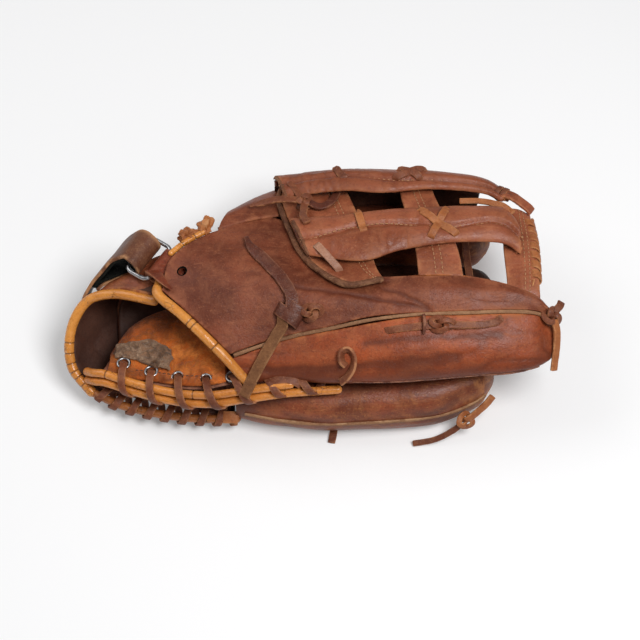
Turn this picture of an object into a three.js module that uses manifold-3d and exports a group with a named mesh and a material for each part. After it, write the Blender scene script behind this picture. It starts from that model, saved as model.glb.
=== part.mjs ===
// A fielder's softball glove, folded shut and lying on its finger side.
// X runs from the wrist to the fingertips, Y from the open mouth to the web, Z up. Millimetres.
// The thumb half lies on top of the finger half. Both halves meet along the mouth, on the -Y side.
import * as THREE from 'three';
import { mergeVertices } from 'three/addons/utils/BufferGeometryUtils.js';
import Module from 'manifold-3d';

const wasm = await Module();
wasm.setup();

// Driving dimensions
const CLEARANCE = 0.35; // least gap between two pieces that lie against each other
const SHELL = 3.6; // back and front leather with its backing
const PALM_LEATHER = 3.0;
const LINING = 2.0;
const BAND_LEATHER = 3.0;
const STALL_WALL = 4.0; // leather, lining and padding of a finger stall
const WELT_RADIUS = 1.5;
const PIPING_RADIUS = 2.9; // bound edges of the wrist and the heel
const LACE_WIDTH = 5.2;
const LACE_THICKNESS = 2.2;
const TIP_LACE_WIDTH = 4.2;
const TIP_LACE_THICKNESS = 1.6;
const PULL_LACE_WIDTH = 8.5;
const POST_THICKNESS = 5.2; // web straps are leather folded over a filler
const WEB_LEATHER = 3.2;
const EDGE_BINDING_RADIUS = 2.0;
const STRAP_WIDTH = 26;
const STRAP_THICKNESS = 2.4;
const STRAP_PILE = 2.2;
const STRAP_MARGIN = 1; // bare leather beside the pile
const STRAP_LOOP_RADIUS = 8.4; // strap's middle, where it turns round the ring
const RING_WIRE_RADIUS = 1.5;
const RING_PLAY = 0.5; // beside the strap, at each rail
const RING_WIDTH = 21; // outside, along the strap's run
const TAB_WIDTH = 24;
const TAB_THICKNESS = 2.2;
const EYELETS = 5;
const EYELET_SHARE = 0.38; // how far round its turn the lace is where it passes an eyelet
const EYELET_OUTER = 4.9;
const EYELET_BORE = 3.3;
const EYELET_HEIGHT = 2.4;
const VENT_OUTER = 4.2;
const VENT_BORE = 3.0;
const PAD_THICKNESS = 4.0; // felt in the heel
const FELT_THICKNESS = 1.6;
const STAY_THICKNESS = 2.4; // stiffener in the thumb and little finger
const HEEL_LACE_PITCH = 21.3;
const PINKY_LACE_PITCH = 12;
const TIP_LACE_PITCH = 7.4;

const LEATHER = { color: 0x7a3a22, roughness: 0.5, metalness: 0 };
const WEB_TAN = { color: 0x8a4526, roughness: 0.45, metalness: 0 };
const PALM_BROWN = { color: 0x6f3721, roughness: 0.55, metalness: 0 };
const LINING_ORANGE = { color: 0x8f4a1d, roughness: 0.9, metalness: 0 };
const PIPING_TAN = { color: 0xb9701f, roughness: 0.35, metalness: 0 };
const LACE_BROWN = { color: 0x6d4326, roughness: 0.6, metalness: 0 };
const WELT_TAN = { color: 0x8c6a45, roughness: 0.7, metalness: 0 };
const FELT_GREY = { color: 0x5d5244, roughness: 1, metalness: 0 };
const PILE_BLACK = { color: 0x14160f, roughness: 1, metalness: 0 };
const STEEL = { color: 0xb9bcc0, roughness: 0.25, metalness: 1 };
const BLACKENED = { color: 0x16130f, roughness: 0.5, metalness: 0 };

// Sketch helpers

const vec = (p) => new THREE.Vector3(p[0], p[1], p[2]);
const smooth = (points) => new THREE.CatmullRomCurve3(points.map(vec), false, 'centripetal');
const mix = (a, b, t) => a + (b - a) * t;
const ramp = (x, from, to) => Math.min(1, Math.max(0, (x - from) / (to - from)));
const shifted = (points, dx, dy, dz) => points.map((p) => [p[0] + dx, p[1] + dy, p[2] + dz]);

// A surface through rows of points. u runs along each row and v from row to row, both from 0 to 1.
function patch(rows) {
  const curves = rows.map((row) => new THREE.CatmullRomCurve3(row.map(vec), false, 'catmullrom', 0.5));
  return (u, v) => {
    const across = curves.map((curve) => curve.getPoint(u));
    return new THREE.CatmullRomCurve3(across, false, 'catmullrom', 0.5).getPoint(v);
  };
}

function patchNormal(surface, u, v) {
  const step = 0.004;
  const u0 = Math.max(0, u - step);
  const u1 = Math.min(1, u + step);
  const v0 = Math.max(0, v - step);
  const v1 = Math.min(1, v + step);
  const along = surface(u1, v).sub(surface(u0, v));
  const across = surface(u, v1).sub(surface(u, v0));
  return along.cross(across).normalize();
}

// Points that lie a given height above a surface, on the side that shows.
const above = (rows, side) => {
  const surface = patch(rows);
  return (u, v, lift) => {
    const point = surface(u, v).addScaledVector(patchNormal(surface, u, v), side * lift);
    return [point.x, point.y, point.z];
  };
};

function solidFrom(positions, triangles) {
  const geometry = new THREE.BufferGeometry();
  geometry.setAttribute('position', new THREE.Float32BufferAttribute(positions, 3));
  geometry.setIndex(triangles);
  return solidOf(geometry);
}

function solidOf(source) {
  const bare = source.clone();
  bare.deleteAttribute('normal');
  bare.deleteAttribute('uv');
  const merged = mergeVertices(bare, 1e-4);
  const mesh = new wasm.Mesh({
    numProp: 3,
    vertProperties: merged.attributes.position.array,
    triVerts: new Uint32Array(merged.index.array),
  });
  const made = new wasm.Manifold(mesh);
  return made.volume() < 0 ? solidOf(reversed(merged)) : made;
}

function reversed(geometry) {
  const index = Array.from(geometry.index.array);
  for (let i = 0; i < index.length; i += 3) {
    [index[i + 1], index[i + 2]] = [index[i + 2], index[i + 1]];
  }
  geometry.setIndex(index);
  return geometry;
}

// A closed skin over equal rings of points, with a fan over each end.
function loft(rings, closed = false) {
  const count = rings[0].length;
  const positions = rings.flat().flatMap((p) => [p.x, p.y, p.z]);
  const triangles = [];
  const spans = closed ? rings.length : rings.length - 1;
  for (let i = 0; i < spans; i += 1) {
    const next = (i + 1) % rings.length;
    for (let j = 0; j < count; j += 1) {
      const k = (j + 1) % count;
      triangles.push(i * count + j, next * count + j, next * count + k);
      triangles.push(i * count + j, next * count + k, i * count + k);
    }
  }
  if (!closed) {
    for (const end of [0, rings.length - 1]) {
      const middle = rings[end].reduce((sum, p) => sum.add(p), new THREE.Vector3()).divideScalar(count);
      const hub = positions.length / 3;
      positions.push(middle.x, middle.y, middle.z);
      for (let j = 0; j < count; j += 1) {
        const k = (j + 1) % count;
        const pair = end === 0 ? [j, k] : [k, j];
        triangles.push(hub, end * count + pair[0], end * count + pair[1]);
      }
    }
  }
  return solidFrom(positions, triangles);
}

// Leather of one thickness under a surface, set sink(u, v) below it. side picks the face that shows.
function sheet(rows, options) {
  const { thickness, sink = () => 0, uSteps, vSteps, uRange = [0, 1], vRange = [0, 1], side } = options;
  const surface = patch(rows);
  return (grow) => {
    const top = [];
    const bottom = [];
    for (let i = 0; i <= vSteps; i += 1) {
      for (let j = 0; j <= uSteps; j += 1) {
        const u = mix(uRange[0], uRange[1], j / uSteps);
        const v = mix(vRange[0], vRange[1], i / vSteps);
        const normal = patchNormal(surface, u, v).multiplyScalar(side);
        const skin = surface(u, v).addScaledVector(normal, -sink(u, v));
        skin.add(rimShift(surface, u, v, j / uSteps, i / vSteps, grow));
        top.push(skin.clone().addScaledVector(normal, grow));
        bottom.push(skin.clone().addScaledVector(normal, -thickness - grow));
      }
    }
    return slab(top, bottom, uSteps, vSteps);
  };
}

// Points on the rim of a grown sheet move outward with the rest of it.
function rimShift(surface, u, v, uShare, vShare, grow) {
  const step = 0.01;
  const along = surface(Math.min(1, u + step), v).sub(surface(Math.max(0, u - step), v)).normalize();
  const across = surface(u, Math.min(1, v + step)).sub(surface(u, Math.max(0, v - step))).normalize();
  const endOf = (share) => (share === 0 ? -1 : Number(share === 1));
  return along.multiplyScalar(grow * endOf(uShare)).addScaledVector(across, grow * endOf(vShare));
}

function slab(top, bottom, uSteps, vSteps) {
  const positions = [...top, ...bottom].flatMap((p) => [p.x, p.y, p.z]);
  const wide = uSteps + 1;
  const under = top.length;
  const triangles = [];
  for (let i = 0; i < vSteps; i += 1) {
    for (let j = 0; j < uSteps; j += 1) {
      const a = i * wide + j;
      triangles.push(a, a + 1, a + wide + 1, a, a + wide + 1, a + wide);
      triangles.push(under + a, under + a + wide + 1, under + a + 1);
      triangles.push(under + a, under + a + wide, under + a + wide + 1);
    }
  }
  const rim = [];
  for (let j = 0; j < uSteps; j += 1) rim.push(j);
  for (let i = 0; i < vSteps; i += 1) rim.push(i * wide + uSteps);
  for (let j = uSteps; j > 0; j -= 1) rim.push(vSteps * wide + j);
  for (let i = vSteps; i > 0; i -= 1) rim.push(i * wide);
  rim.forEach((a, i) => {
    const b = rim[(i + 1) % rim.length];
    triangles.push(a, under + a, under + b, a, under + b, b);
  });
  return solidFrom(positions, triangles);
}

// Cross-section of a cord or strap: a rounded oblong, squarer as power rises.
function section(halfWidth, halfHeight, sides, power) {
  const points = [];
  for (let i = 0; i < sides; i += 1) {
    const angle = (2 * Math.PI * (i + 0.5)) / sides;
    const c = Math.cos(angle);
    const s = Math.sin(angle);
    points.push([
      halfWidth * Math.sign(c) * Math.abs(c) ** (2 / power),
      halfHeight * Math.sign(s) * Math.abs(s) ** (2 / power),
    ]);
  }
  return points;
}

// A strap, lace or cord along a route. At each share of the route up gives the way its face looks,
// or level gives the way its width lies. lift sets it off the route, along its face.
function strip(route, options) {
  const { width, thickness, steps, up, level, sides = 4, power = 40 } = options;
  const { closed = false, taper = () => 1, lift = 0 } = options;
  const curve = route.getPoint ? route : smooth(route);
  return (grow) => {
    const rings = [];
    const last = closed ? steps - 1 : steps;
    for (let i = 0; i <= last; i += 1) {
      const t = i / steps;
      const tangent = curve.getTangent(t).normalize();
      const face = level ? level(t).clone().cross(tangent) : up(t).clone();
      face.addScaledVector(tangent, -face.dot(tangent)).normalize();
      const across = new THREE.Vector3().crossVectors(tangent, face);
      const centre = curve.getPoint(t).addScaledVector(face, lift);
      if (!closed && i === 0) centre.addScaledVector(tangent, -grow);
      if (!closed && i === last) centre.addScaledVector(tangent, grow);
      const scale = taper(t);
      const outline = section((width / 2) * scale + grow, thickness / 2 + grow, sides, power);
      rings.push(outline.map(([a, b]) => centre.clone().addScaledVector(across, a).addScaledVector(face, b)));
    }
    return loft(rings, closed);
  };
}

const facing = (x, y, z) => () => new THREE.Vector3(x, y, z);

const cord = (route, radius, steps, sides = 6) =>
  strip(route, { width: 2 * radius, thickness: 2 * radius, steps, up: facing(0.1, 0.2, 1), sides, power: 2 });

const joined = (...builders) => (grow) => builders.map((b) => b(grow)).reduce((a, b) => a.add(b));

// The way of a lace round an edge: an oval whose middle lies inside the edge. pull(t) draws it tighter.
function windingPath(edge, { pitch, inward, reach, height, inset, start, end, pull = () => 1 }) {
  const turns = (edge.getLength() * (end - start)) / pitch;
  const path = (t) => {
    const place = mix(start, end, t);
    const tangent = edge.getTangentAt(place).normalize();
    const inner = inward.clone().addScaledVector(tangent, -inward.dot(tangent)).normalize();
    const normal = new THREE.Vector3().crossVectors(tangent, inner).normalize();
    const angle = 2 * Math.PI * turns * t;
    const point = edge.getPointAt(place);
    point.addScaledVector(inner, pull(t) * (inset - reach * Math.cos(angle)));
    point.addScaledVector(normal, pull(t) * height * Math.sin(angle));
    const face = inner.clone().multiplyScalar(-Math.cos(angle) / reach);
    return { point, normal, face: face.addScaledVector(normal, Math.sin(angle) / height) };
  };
  path.turns = turns;
  return path;
}

function winding(edge, wind) {
  const path = windingPath(edge, wind);
  const route = new THREE.Curve();
  route.getPoint = (t) => path(t).point;
  const steps = Math.round(path.turns * 6);
  console.log(`least gap of a wound lace to itself: ${leastGap(path, wind.width).toFixed(1)} mm`);
  return strip(route, { width: wind.width, thickness: wind.thickness, steps, up: (t) => path(t).face });
}

// The least distance between points at least half a turn apart, less the lace's width.
function leastGap(path, width) {
  const perTurn = 16;
  const count = Math.round(path.turns * perTurn);
  const points = [];
  for (let i = 0; i <= count; i += 1) points.push(path(i / count).point);
  let least = Infinity;
  for (let i = 0; i <= count; i += 1) {
    for (let j = i + perTurn / 2; j <= count; j += 1) {
      least = Math.min(least, points[i].distanceTo(points[j]));
    }
  }
  return least - width;
}

// A finger stall: a cup of leather, closed at the tip and open at the wrist end, cut flat where it lies.
function stall(stations) {
  const centre = smooth(stations.map((s) => s.at));
  const sizes = smooth(stations.map((s) => [s.halfWidth, s.halfHeight, 0]));
  const sides = 12;
  const rings = 8;
  const ring = (t, inset) => {
    const middle = centre.getPoint(t);
    const size = sizes.getPoint(t);
    const wide = Math.max(1.5, size.x + inset);
    const tall = Math.max(1.5, size.y + inset);
    const outline = section(wide, tall, sides, 2.6);
    return outline.map(([a, b]) => new THREE.Vector3(middle.x, middle.y + a, middle.z + b));
  };
  return (grow) => {
    const skin = [];
    for (let i = 0; i <= rings; i += 1) skin.push(ring(i / rings, grow));
    const tipShare = 1 - STALL_WALL / (stations.at(-1).at[0] - stations[0].at[0]) - 0.02;
    const inside = [];
    const spans = rings - 2;
    for (let i = 0; i <= spans; i += 1) inside.push(ring((tipShare * i) / spans, -STALL_WALL - grow));
    const mouth = inside[0].map((p) => p.clone().setX(p.x - 2 * STALL_WALL));
    return loft(skin).subtract(loft([mouth, ...inside])).subtract(underGround());
  };
}

function eyelet(centre, axis, outer, bore, height) {
  return (grow) => {
    const profile = [
      [bore - grow, -height / 2 - grow], [outer + grow, -height / 2 - grow],
      [outer + grow, height / 2 + grow], [bore - grow, height / 2 + grow],
    ].map(([r, z]) => new THREE.Vector2(r, z));
    const geometry = new THREE.LatheGeometry([...profile, profile[0]], 9);
    geometry.rotateX(Math.PI / 2);
    geometry.applyQuaternion(new THREE.Quaternion().setFromUnitVectors(new THREE.Vector3(0, 0, 1), axis));
    geometry.translate(centre.x, centre.y, centre.z);
    return solidOf(geometry);
  };
}

function underGround() {
  const deep = 60;
  const block = new THREE.BoxGeometry(600, 600, deep);
  block.translate(0, 0, -deep / 2);
  return solidOf(block);
}

// Assembly: each piece gives way to those added before it, by the clearance.

const glove = new THREE.Group();
const placed = [];

function add(name, finish, build) {
  let solid = build(0);
  for (const other of placed) {
    if (boxesMeet(solid, other.grown)) solid = solid.subtract(other.grown);
  }
  const whole = largestBody(solid);
  placed.push({ name, grown: build(CLEARANCE) });
  const mesh = new THREE.Mesh(geometryOf(whole), new THREE.MeshStandardMaterial(finish));
  mesh.name = name;
  glove.add(mesh);
}

function boxesMeet(a, b) {
  const p = a.boundingBox();
  const q = b.boundingBox();
  return [0, 1, 2].every((i) => p.min[i] <= q.max[i] && q.min[i] <= p.max[i]);
}

function largestBody(solid) {
  const bodies = solid.decompose();
  return bodies.reduce((best, body) => (body.volume() > best.volume() ? body : best));
}

function geometryOf(solid) {
  const mesh = solid.getMesh();
  const geometry = new THREE.BufferGeometry();
  geometry.setAttribute('position', new THREE.Float32BufferAttribute(mesh.vertProperties, 3));
  geometry.setIndex(Array.from(mesh.triVerts));
  return geometry;
}

// Heel edges: the rounded end of the palm, thumb side above and little-finger side below

const HEEL_THUMB_EDGE = [
  [-154, -42, 36], [-128, -52, 37], [-101, -61, 40], [-74, -65, 43], [-47, -63, 47], [-20, -60, 49],
  [12, -58, 50],
];
const HEEL_PINKY_EDGE = [
  [-157, -45, 19], [-137, -53, 15], [-110, -59, 13], [-82, -62, 12], [-57, -62, 12],
];
const HEEL_INWARD = new THREE.Vector3(0, 1, -0.12);
const heelThumbEdge = smooth(HEEL_THUMB_EDGE);
const heelPinkyEdge = smooth(HEEL_PINKY_EDGE);
const HEEL_THUMB_WIND = {
  pitch: HEEL_LACE_PITCH, inward: HEEL_INWARD, reach: 11.5, height: 9.4, inset: 5.5, start: 0.05, end: 0.97,
  width: LACE_WIDTH, thickness: LACE_THICKNESS, pull: (t) => mix(1, 0.58, ramp(t, 0.62, 0.8)),
};
const HEEL_PINKY_WIND = {
  pitch: PINKY_LACE_PITCH, inward: HEEL_INWARD, reach: 7, height: 5.6, inset: 2.4, start: 0.06, end: 0.98,
  width: LACE_WIDTH, thickness: LACE_THICKNESS,
};
add('heel_lace_thumb', LACE_BROWN, winding(heelThumbEdge, HEEL_THUMB_WIND));
add('heel_lace_pinky', LACE_BROWN, winding(heelPinkyEdge, HEEL_PINKY_WIND));
const heelWind = windingPath(heelThumbEdge, HEEL_THUMB_WIND);
for (let i = 0; i < EYELETS; i += 1) {
  const { point, normal } = heelWind((i + EYELET_SHARE) / heelWind.turns);
  add(`eyelet_${i + 1}`, STEEL, eyelet(point, normal, EYELET_OUTER, EYELET_BORE, EYELET_HEIGHT));
}
const LINING_PIPING = shifted(HEEL_THUMB_EDGE.slice(0, -1), 0, 3, 3.6); // ends before the palm's own piping
add('heel_piping_lining', PIPING_TAN, cord(LINING_PIPING, PIPING_RADIUS, 16));
add('heel_piping_palm', PIPING_TAN, cord(shifted(HEEL_THUMB_EDGE, 0, 0, -2.9), PIPING_RADIUS, 18));
add('heel_piping_pinky', PIPING_TAN, cord(HEEL_PINKY_EDGE, PIPING_RADIUS, 12));

// Web laces that pass through the leather come before it, so that it gets their holes

const TIP_EDGE = smooth([[145, 58, 79], [147, 30, 85.5], [147, 0, 85.6]]);
add('web_tip_lace', LACE_BROWN, winding(TIP_EDGE, {
  pitch: TIP_LACE_PITCH, inward: new THREE.Vector3(-1, 0, 0), reach: 3.9, height: 3.4, inset: 1.7,
  start: 0.02, end: 0.98, width: TIP_LACE_WIDTH, thickness: TIP_LACE_THICKNESS,
}));

// Thumb half: back panel, front, welt and the piping of the wrist edge

const THUMB_BACK = [
  [[-60, -42, 67], [-73, -31, 74.5], [-90, -16, 80.5], [-106, -2, 84]],
  [[-39, -35.5, 71], [-56, -16, 83.5], [-77, 5, 89], [-100, 23, 86]],
  [[-17, -31, 75], [-31, -8, 88.3], [-47, 18, 91], [-73, 45, 83]],
  [[7, -28, 80], [-2, -10, 88.8], [-10, 15, 86], [-28, 60, 76]],
  [[32, -24, 85.7], [30, -13, 90.2], [28, -3, 89.3], [20, 14, 84]],
  [[60, -23, 89], [60, -15, 92.8], [60, -7, 95], [60, 3, 94]],
  [[95, -22, 90], [95, -14.5, 93.8], [95, -7, 96], [95, 3, 94]],
  [[125, -20, 88.3], [125, -14, 92], [125, -8.5, 94], [125, -2, 92]],
  [[143, -19, 84.8], [144, -16, 87.3], [144, -12, 89], [143, -8, 88]],
  [[153, -20, 78.5], [155, -19, 79.5], [155, -17, 80.5], [153, -15, 81]],
  [[157, -21, 75], [159, -20.5, 75.5], [159, -19.5, 76], [157, -18, 76]],
];
const THUMB_FRONT_NEAR = [
  [[-59, -44.5, 65], [-53, -51, 58], [-49, -55, 52], [-48, -52, 47]],
  [[-22, -34, 72.5], [-21, -48, 63.5], [-20, -54.5, 54], [-20, -50, 47]],
  [[14, -29.5, 79.5], [15, -48, 70.5], [15, -57.5, 58], [15, -50, 48]],
  [[60, -25, 87.5], [60, -46.5, 78.5], [60, -58.5, 62], [60, -45, 49]],
  [[95, -24, 88.5], [95, -45, 79], [95, -56, 63.5], [95, -43, 51]],
  [[125, -22, 86.8], [125, -43, 77], [125, -54, 64], [125, -43, 53]],
  [[143, -21, 83], [144, -38, 74.5], [146, -48.5, 65], [145, -41, 56]],
  [[152, -22, 76.5], [155, -33, 70.5], [156, -41, 64.5], [155, -35, 60]],
  [[157, -23, 73], [159, -27.5, 71], [159, -30.5, 68], [159, -29, 65]],
];
const THUMB_FRONT_FAR = [
  [[-48, -42, 45], [-48, -28, 43], [-48, -14, 41]],
  [[-20, -35, 44], [-20, -14, 43], [-20, 4, 43]],
  [[15, -25, 46], [15, 4, 50], [15, 16, 60]],
  [[60, -15, 49], [60, 6, 62], [60, 6, 89]],
  [[95, -15, 51], [95, 6, 66], [95, 6, 89]],
  [[125, -16, 53], [125, 2, 68], [125, 1, 87]],
  [[143, -18, 57], [143, -7, 69], [143, -6, 83]],
  [[153, -21, 62], [153, -14, 69], [152, -13, 77]],
  [[158, -23, 66], [157, -19, 69], [156, -18, 73]],
];
const THUMB_FRONT = THUMB_FRONT_NEAR.map((row, i) => [...row, ...THUMB_FRONT_FAR[i]]);
const FRONT_COLUMNS = 12;
const FRONT_ROWS = 13;
const SEAM = THUMB_BACK.map((row) => row[0]);
const WRIST_EDGE = THUMB_BACK[0];
const thumbBackSkin = patch(THUMB_BACK);
const VENT_PLACE = [0.85, 0.08];
const ventCentre = thumbBackSkin(...VENT_PLACE);
const ventAxis = patchNormal(thumbBackSkin, ...VENT_PLACE).negate();
add('vent_eyelet', BLACKENED, eyelet(ventCentre, ventAxis, VENT_OUTER, VENT_BORE, SHELL));
add('thumb_back', LEATHER, sheet(THUMB_BACK, { thickness: SHELL, uSteps: 6, vSteps: 18, side: -1 }));
add('thumb_front', PALM_BROWN, sheet(THUMB_FRONT, {
  thickness: SHELL, uSteps: FRONT_COLUMNS, vSteps: FRONT_ROWS, side: 1,
}));
add('thumb_welt', WELT_TAN, cord(shifted(SEAM, 0, -1.6, 0.4), WELT_RADIUS, 20, 5));
const WRIST_PIPING = [
  [-47, -57, 52], [-54, -51.5, 58.5], ...shifted(WRIST_EDGE, -2.6, -2.4, -1), [-108, 5, 80],
];
add('wrist_piping', PIPING_TAN, cord(WRIST_PIPING, PIPING_RADIUS, 14));
add('thumb_stay', FELT_GREY, sheet(THUMB_FRONT, {
  thickness: STAY_THICKNESS, sink: () => SHELL + 2 * CLEARANCE, uSteps: 3, vSteps: 6,
  uRange: [1 / FRONT_COLUMNS, 4 / FRONT_COLUMNS], vRange: [4 / FRONT_ROWS, 10 / FRONT_ROWS], side: 1,
}));

// Finger half: four stalls side by side, the back panel under the hand and the little finger's welt

const FINGERS = {
  pinky_stall: [
    { at: [-57, -44, 20], halfWidth: 18.5, halfHeight: 17 },
    { at: [-15, -48.5, 20.5], halfWidth: 22, halfHeight: 21.5 },
    { at: [40, -48, 22], halfWidth: 22.5, halfHeight: 23 },
    { at: [85, -44, 22], halfWidth: 20.5, halfHeight: 23 },
    { at: [110, -38, 23], halfWidth: 15, halfHeight: 19 },
    { at: [117, -36, 24], halfWidth: 7, halfHeight: 10 },
  ],
  ring_stall: [
    { at: [-57, -6, 14], halfWidth: 18, halfHeight: 15 },
    { at: [20, -5, 14], halfWidth: 20, halfHeight: 15.5 },
    { at: [85, -4, 15], halfWidth: 19, halfHeight: 16.5 },
    { at: [114, -3, 17], halfWidth: 14, halfHeight: 15 },
    { at: [122, -3, 18], halfWidth: 6, halfHeight: 8 },
  ],
  middle_stall: [
    { at: [-57, 33, 14], halfWidth: 19, halfHeight: 15 },
    { at: [20, 36, 14], halfWidth: 20, halfHeight: 15.5 },
    { at: [85, 37, 15], halfWidth: 19, halfHeight: 16.5 },
    { at: [114, 36, 17], halfWidth: 14, halfHeight: 15 },
    { at: [122, 36, 18], halfWidth: 6, halfHeight: 8 },
  ],
  index_stall: [
    { at: [-57, 74, 18], halfWidth: 20, halfHeight: 19 },
    { at: [20, 78, 22], halfWidth: 21, halfHeight: 24 },
    { at: [80, 78, 23], halfWidth: 20, halfHeight: 25 },
    { at: [110, 74, 24], halfWidth: 15, halfHeight: 20 },
    { at: [119, 73, 25], halfWidth: 7, halfHeight: 10 },
  ],
};
const PINKY_SEAM = [
  [-55, -62.5, 15], [-20, -71, 14], [20, -73, 14], [60, -71, 14.5], [96, -62.5, 17], [112, -54.5, 20],
];
for (const [name, stations] of Object.entries(FINGERS)) add(name, LEATHER, stall(stations));
add('pinky_welt', WELT_TAN, cord(PINKY_SEAM, WELT_RADIUS, 16, 5));

const FINGER_BACK = [
  [[-135, -42, 11], [-90, -53, 6], [-59, -60, 4]],
  [[-140, -12, 8], [-90, -15, 2], [-59, -15, 1.5]],
  [[-143, 14, 14], [-90, 25, 2], [-59, 30, 1.5]],
  [[-142, 25, 25], [-92, 52, 9], [-59, 76, 4]],
  [[-135, 30, 36], [-92, 62, 26], [-59, 94, 18]],
];
add('finger_back', LEATHER, sheet(FINGER_BACK, { thickness: SHELL, uSteps: 6, vSteps: 8, side: -1 }));

// Wrist band: the scoop behind the wrist, with its bound rim

const WRIST_BAND = [
  [[-157, -45, 19], [-145, -43, 12], [-130, -44, 8]],
  [[-170, -31, 27], [-155, -24, 13], [-135, -12, 5]],
  [[-172, -17, 38], [-160, -6, 22], [-138, 14, 9]],
  [[-168, -4, 48], [-158, 8, 36], [-138, 28, 21]],
  [[-158, 6, 57], [-148, 14, 48], [-130, 34, 33]],
  [[-140, 6, 65], [-134, 16, 58], [-118, 38, 43]],
  [[-112, -3, 71], [-108, 11, 71], [-103, 30, 62]],
];
const BAND_START = 0.11; // the rim's piping fills the rest
const WRIST_RIM = WRIST_BAND.map((row) => row[0]);
add('wrist_loop_piping', PIPING_TAN, cord(WRIST_RIM, PIPING_RADIUS, 16));
add('wrist_band', LEATHER, sheet(WRIST_BAND, {
  thickness: BAND_LEATHER, uSteps: 5, vSteps: 11, uRange: [BAND_START, 1], side: 1,
}));

// Palm: a leather sheet folded round the pocket, its lining on the hand side, and felt between them

const PALM_UPPER = [
  [[-151, -40, 32], [-148, -35, 30], [-145, -31, 28]],
  [[-120, -49, 38], [-120, -30, 35], [-120, -12, 34]],
  [[-82, -57, 44], [-82, -35, 40], [-82, -6, 38]],
  [[-52, -51, 44], [-52, -38, 42], [-52, -15, 40]],
];
const PALM_FOLD = [[-143, -28, 26], [-118, -3, 30], [-80, 7, 34], [-52, 12, 34]];
const PALM_LOWER = [
  [[-145, -31, 24], [-148, -36, 22], [-152, -42, 20]],
  [[-120, -12, 26], [-120, -30, 24], [-120, -50, 17]],
  [[-82, -6, 30], [-82, -35, 28], [-82, -55, 20]],
  [[-59.5, -3, 30], [-59, -28, 33], [-59, -48, 35]],
];
const PALM = PALM_FOLD.map((fold, i) => [...PALM_UPPER[i], fold, ...PALM_LOWER[i]]);
const PALM_COLUMNS = 12;
const PALM_ROWS = 8;
const PALM_STACK = PALM_LEATHER + CLEARANCE;
const LINING_LIFT = PAD_THICKNESS + CLEARANCE;
const overPads = (u, v) => ramp(u, 0.08, 0.25) * ramp(u, 0.92, 0.75) * ramp(v, 0, 0.25) * ramp(v, 1, 0.75);
const liningSink = (u, v) => PALM_STACK + LINING_LIFT * overPads(u, v);
add('palm', PALM_BROWN, sheet(PALM, {
  thickness: PALM_LEATHER, uSteps: PALM_COLUMNS, vSteps: PALM_ROWS, side: 1,
}));
for (const [name, from] of [['heel_pad_thumb', 3], ['heel_pad_pinky', 7]]) {
  add(name, FELT_GREY, sheet(PALM, {
    thickness: PAD_THICKNESS, sink: () => PALM_STACK, uSteps: 2, vSteps: 4,
    uRange: [from / PALM_COLUMNS, (from + 2) / PALM_COLUMNS], vRange: [2 / PALM_ROWS, 6 / PALM_ROWS], side: 1,
  }));
}
add('palm_lining', LINING_ORANGE, sheet(PALM, {
  thickness: LINING, sink: liningSink, uSteps: PALM_COLUMNS, vSteps: PALM_ROWS - 1,
  uRange: [0.03, 0.86], vRange: [0.5 / PALM_ROWS, (PALM_ROWS - 1) / PALM_ROWS], side: 1,
}));

// Strap over the wrist: it turns round one bar of the ring, and a tab under the back panel holds the other

const RING_ALONG = new THREE.Vector3(0.55, 0.835, 0).normalize();
const RING_ACROSS = new THREE.Vector3(0.835, -0.55, 0).normalize();
const RING_CENTRE = new THREE.Vector3(-116, 26, 78);
const barHalf = RING_WIDTH / 2 - RING_WIRE_RADIUS;
const railHalf = STRAP_WIDTH / 2 + RING_PLAY + RING_WIRE_RADIUS;
const onRing = (a, c, z) => {
  const level = RING_CENTRE.clone().addScaledVector(RING_ALONG, a).addScaledVector(RING_ACROSS, c);
  return level.add(new THREE.Vector3(0, 0, z));
};
const triple = (p) => [p.x, p.y, p.z];

const ringCorner = 5;
const ringRoute = new THREE.CurvePath();
const ringTurns = [[1, 1], [-1, 1], [-1, -1], [1, -1]];
ringTurns.forEach(([a, c], i) => {
  const [na, nc] = ringTurns[(i + 1) % 4];
  const corner = onRing(a * railHalf, c * barHalf, 0);
  const nextCorner = onRing(na * railHalf, nc * barHalf, 0);
  const run = nextCorner.clone().sub(corner).normalize();
  const leave = corner.clone().addScaledVector(run, ringCorner);
  const arrive = nextCorner.clone().addScaledVector(run, -ringCorner);
  ringRoute.add(new THREE.LineCurve3(leave, arrive));
  const [ma, mc] = ringTurns[(i + 2) % 4];
  const afterRun = onRing(ma * railHalf, mc * barHalf, 0).sub(nextCorner).normalize();
  const past = nextCorner.clone().addScaledVector(afterRun, ringCorner);
  ringRoute.add(new THREE.QuadraticBezierCurve3(arrive, nextCorner, past));
});
add('strap_ring', STEEL, strip(ringRoute, {
  width: 2 * RING_WIRE_RADIUS, thickness: 2 * RING_WIRE_RADIUS, steps: 24, up: facing(0, 0, 1),
  sides: 5, power: 2, closed: true,
}));

const tabTurn = RING_WIRE_RADIUS + CLEARANCE + TAB_THICKNESS / 2;
const tabRoute = [
  [18, tabTurn - 0.4], [9, tabTurn - 0.2], [0, tabTurn], [-tabTurn, 0],
  [0, -tabTurn], [9, -tabTurn], [18, -tabTurn],
].map(([c, z]) => triple(onRing(0, barHalf + c, z)));
add('ring_tab', LEATHER, strip(tabRoute, {
  width: TAB_WIDTH, thickness: TAB_THICKNESS, steps: 12, level: () => RING_ALONG,
}));

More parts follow.
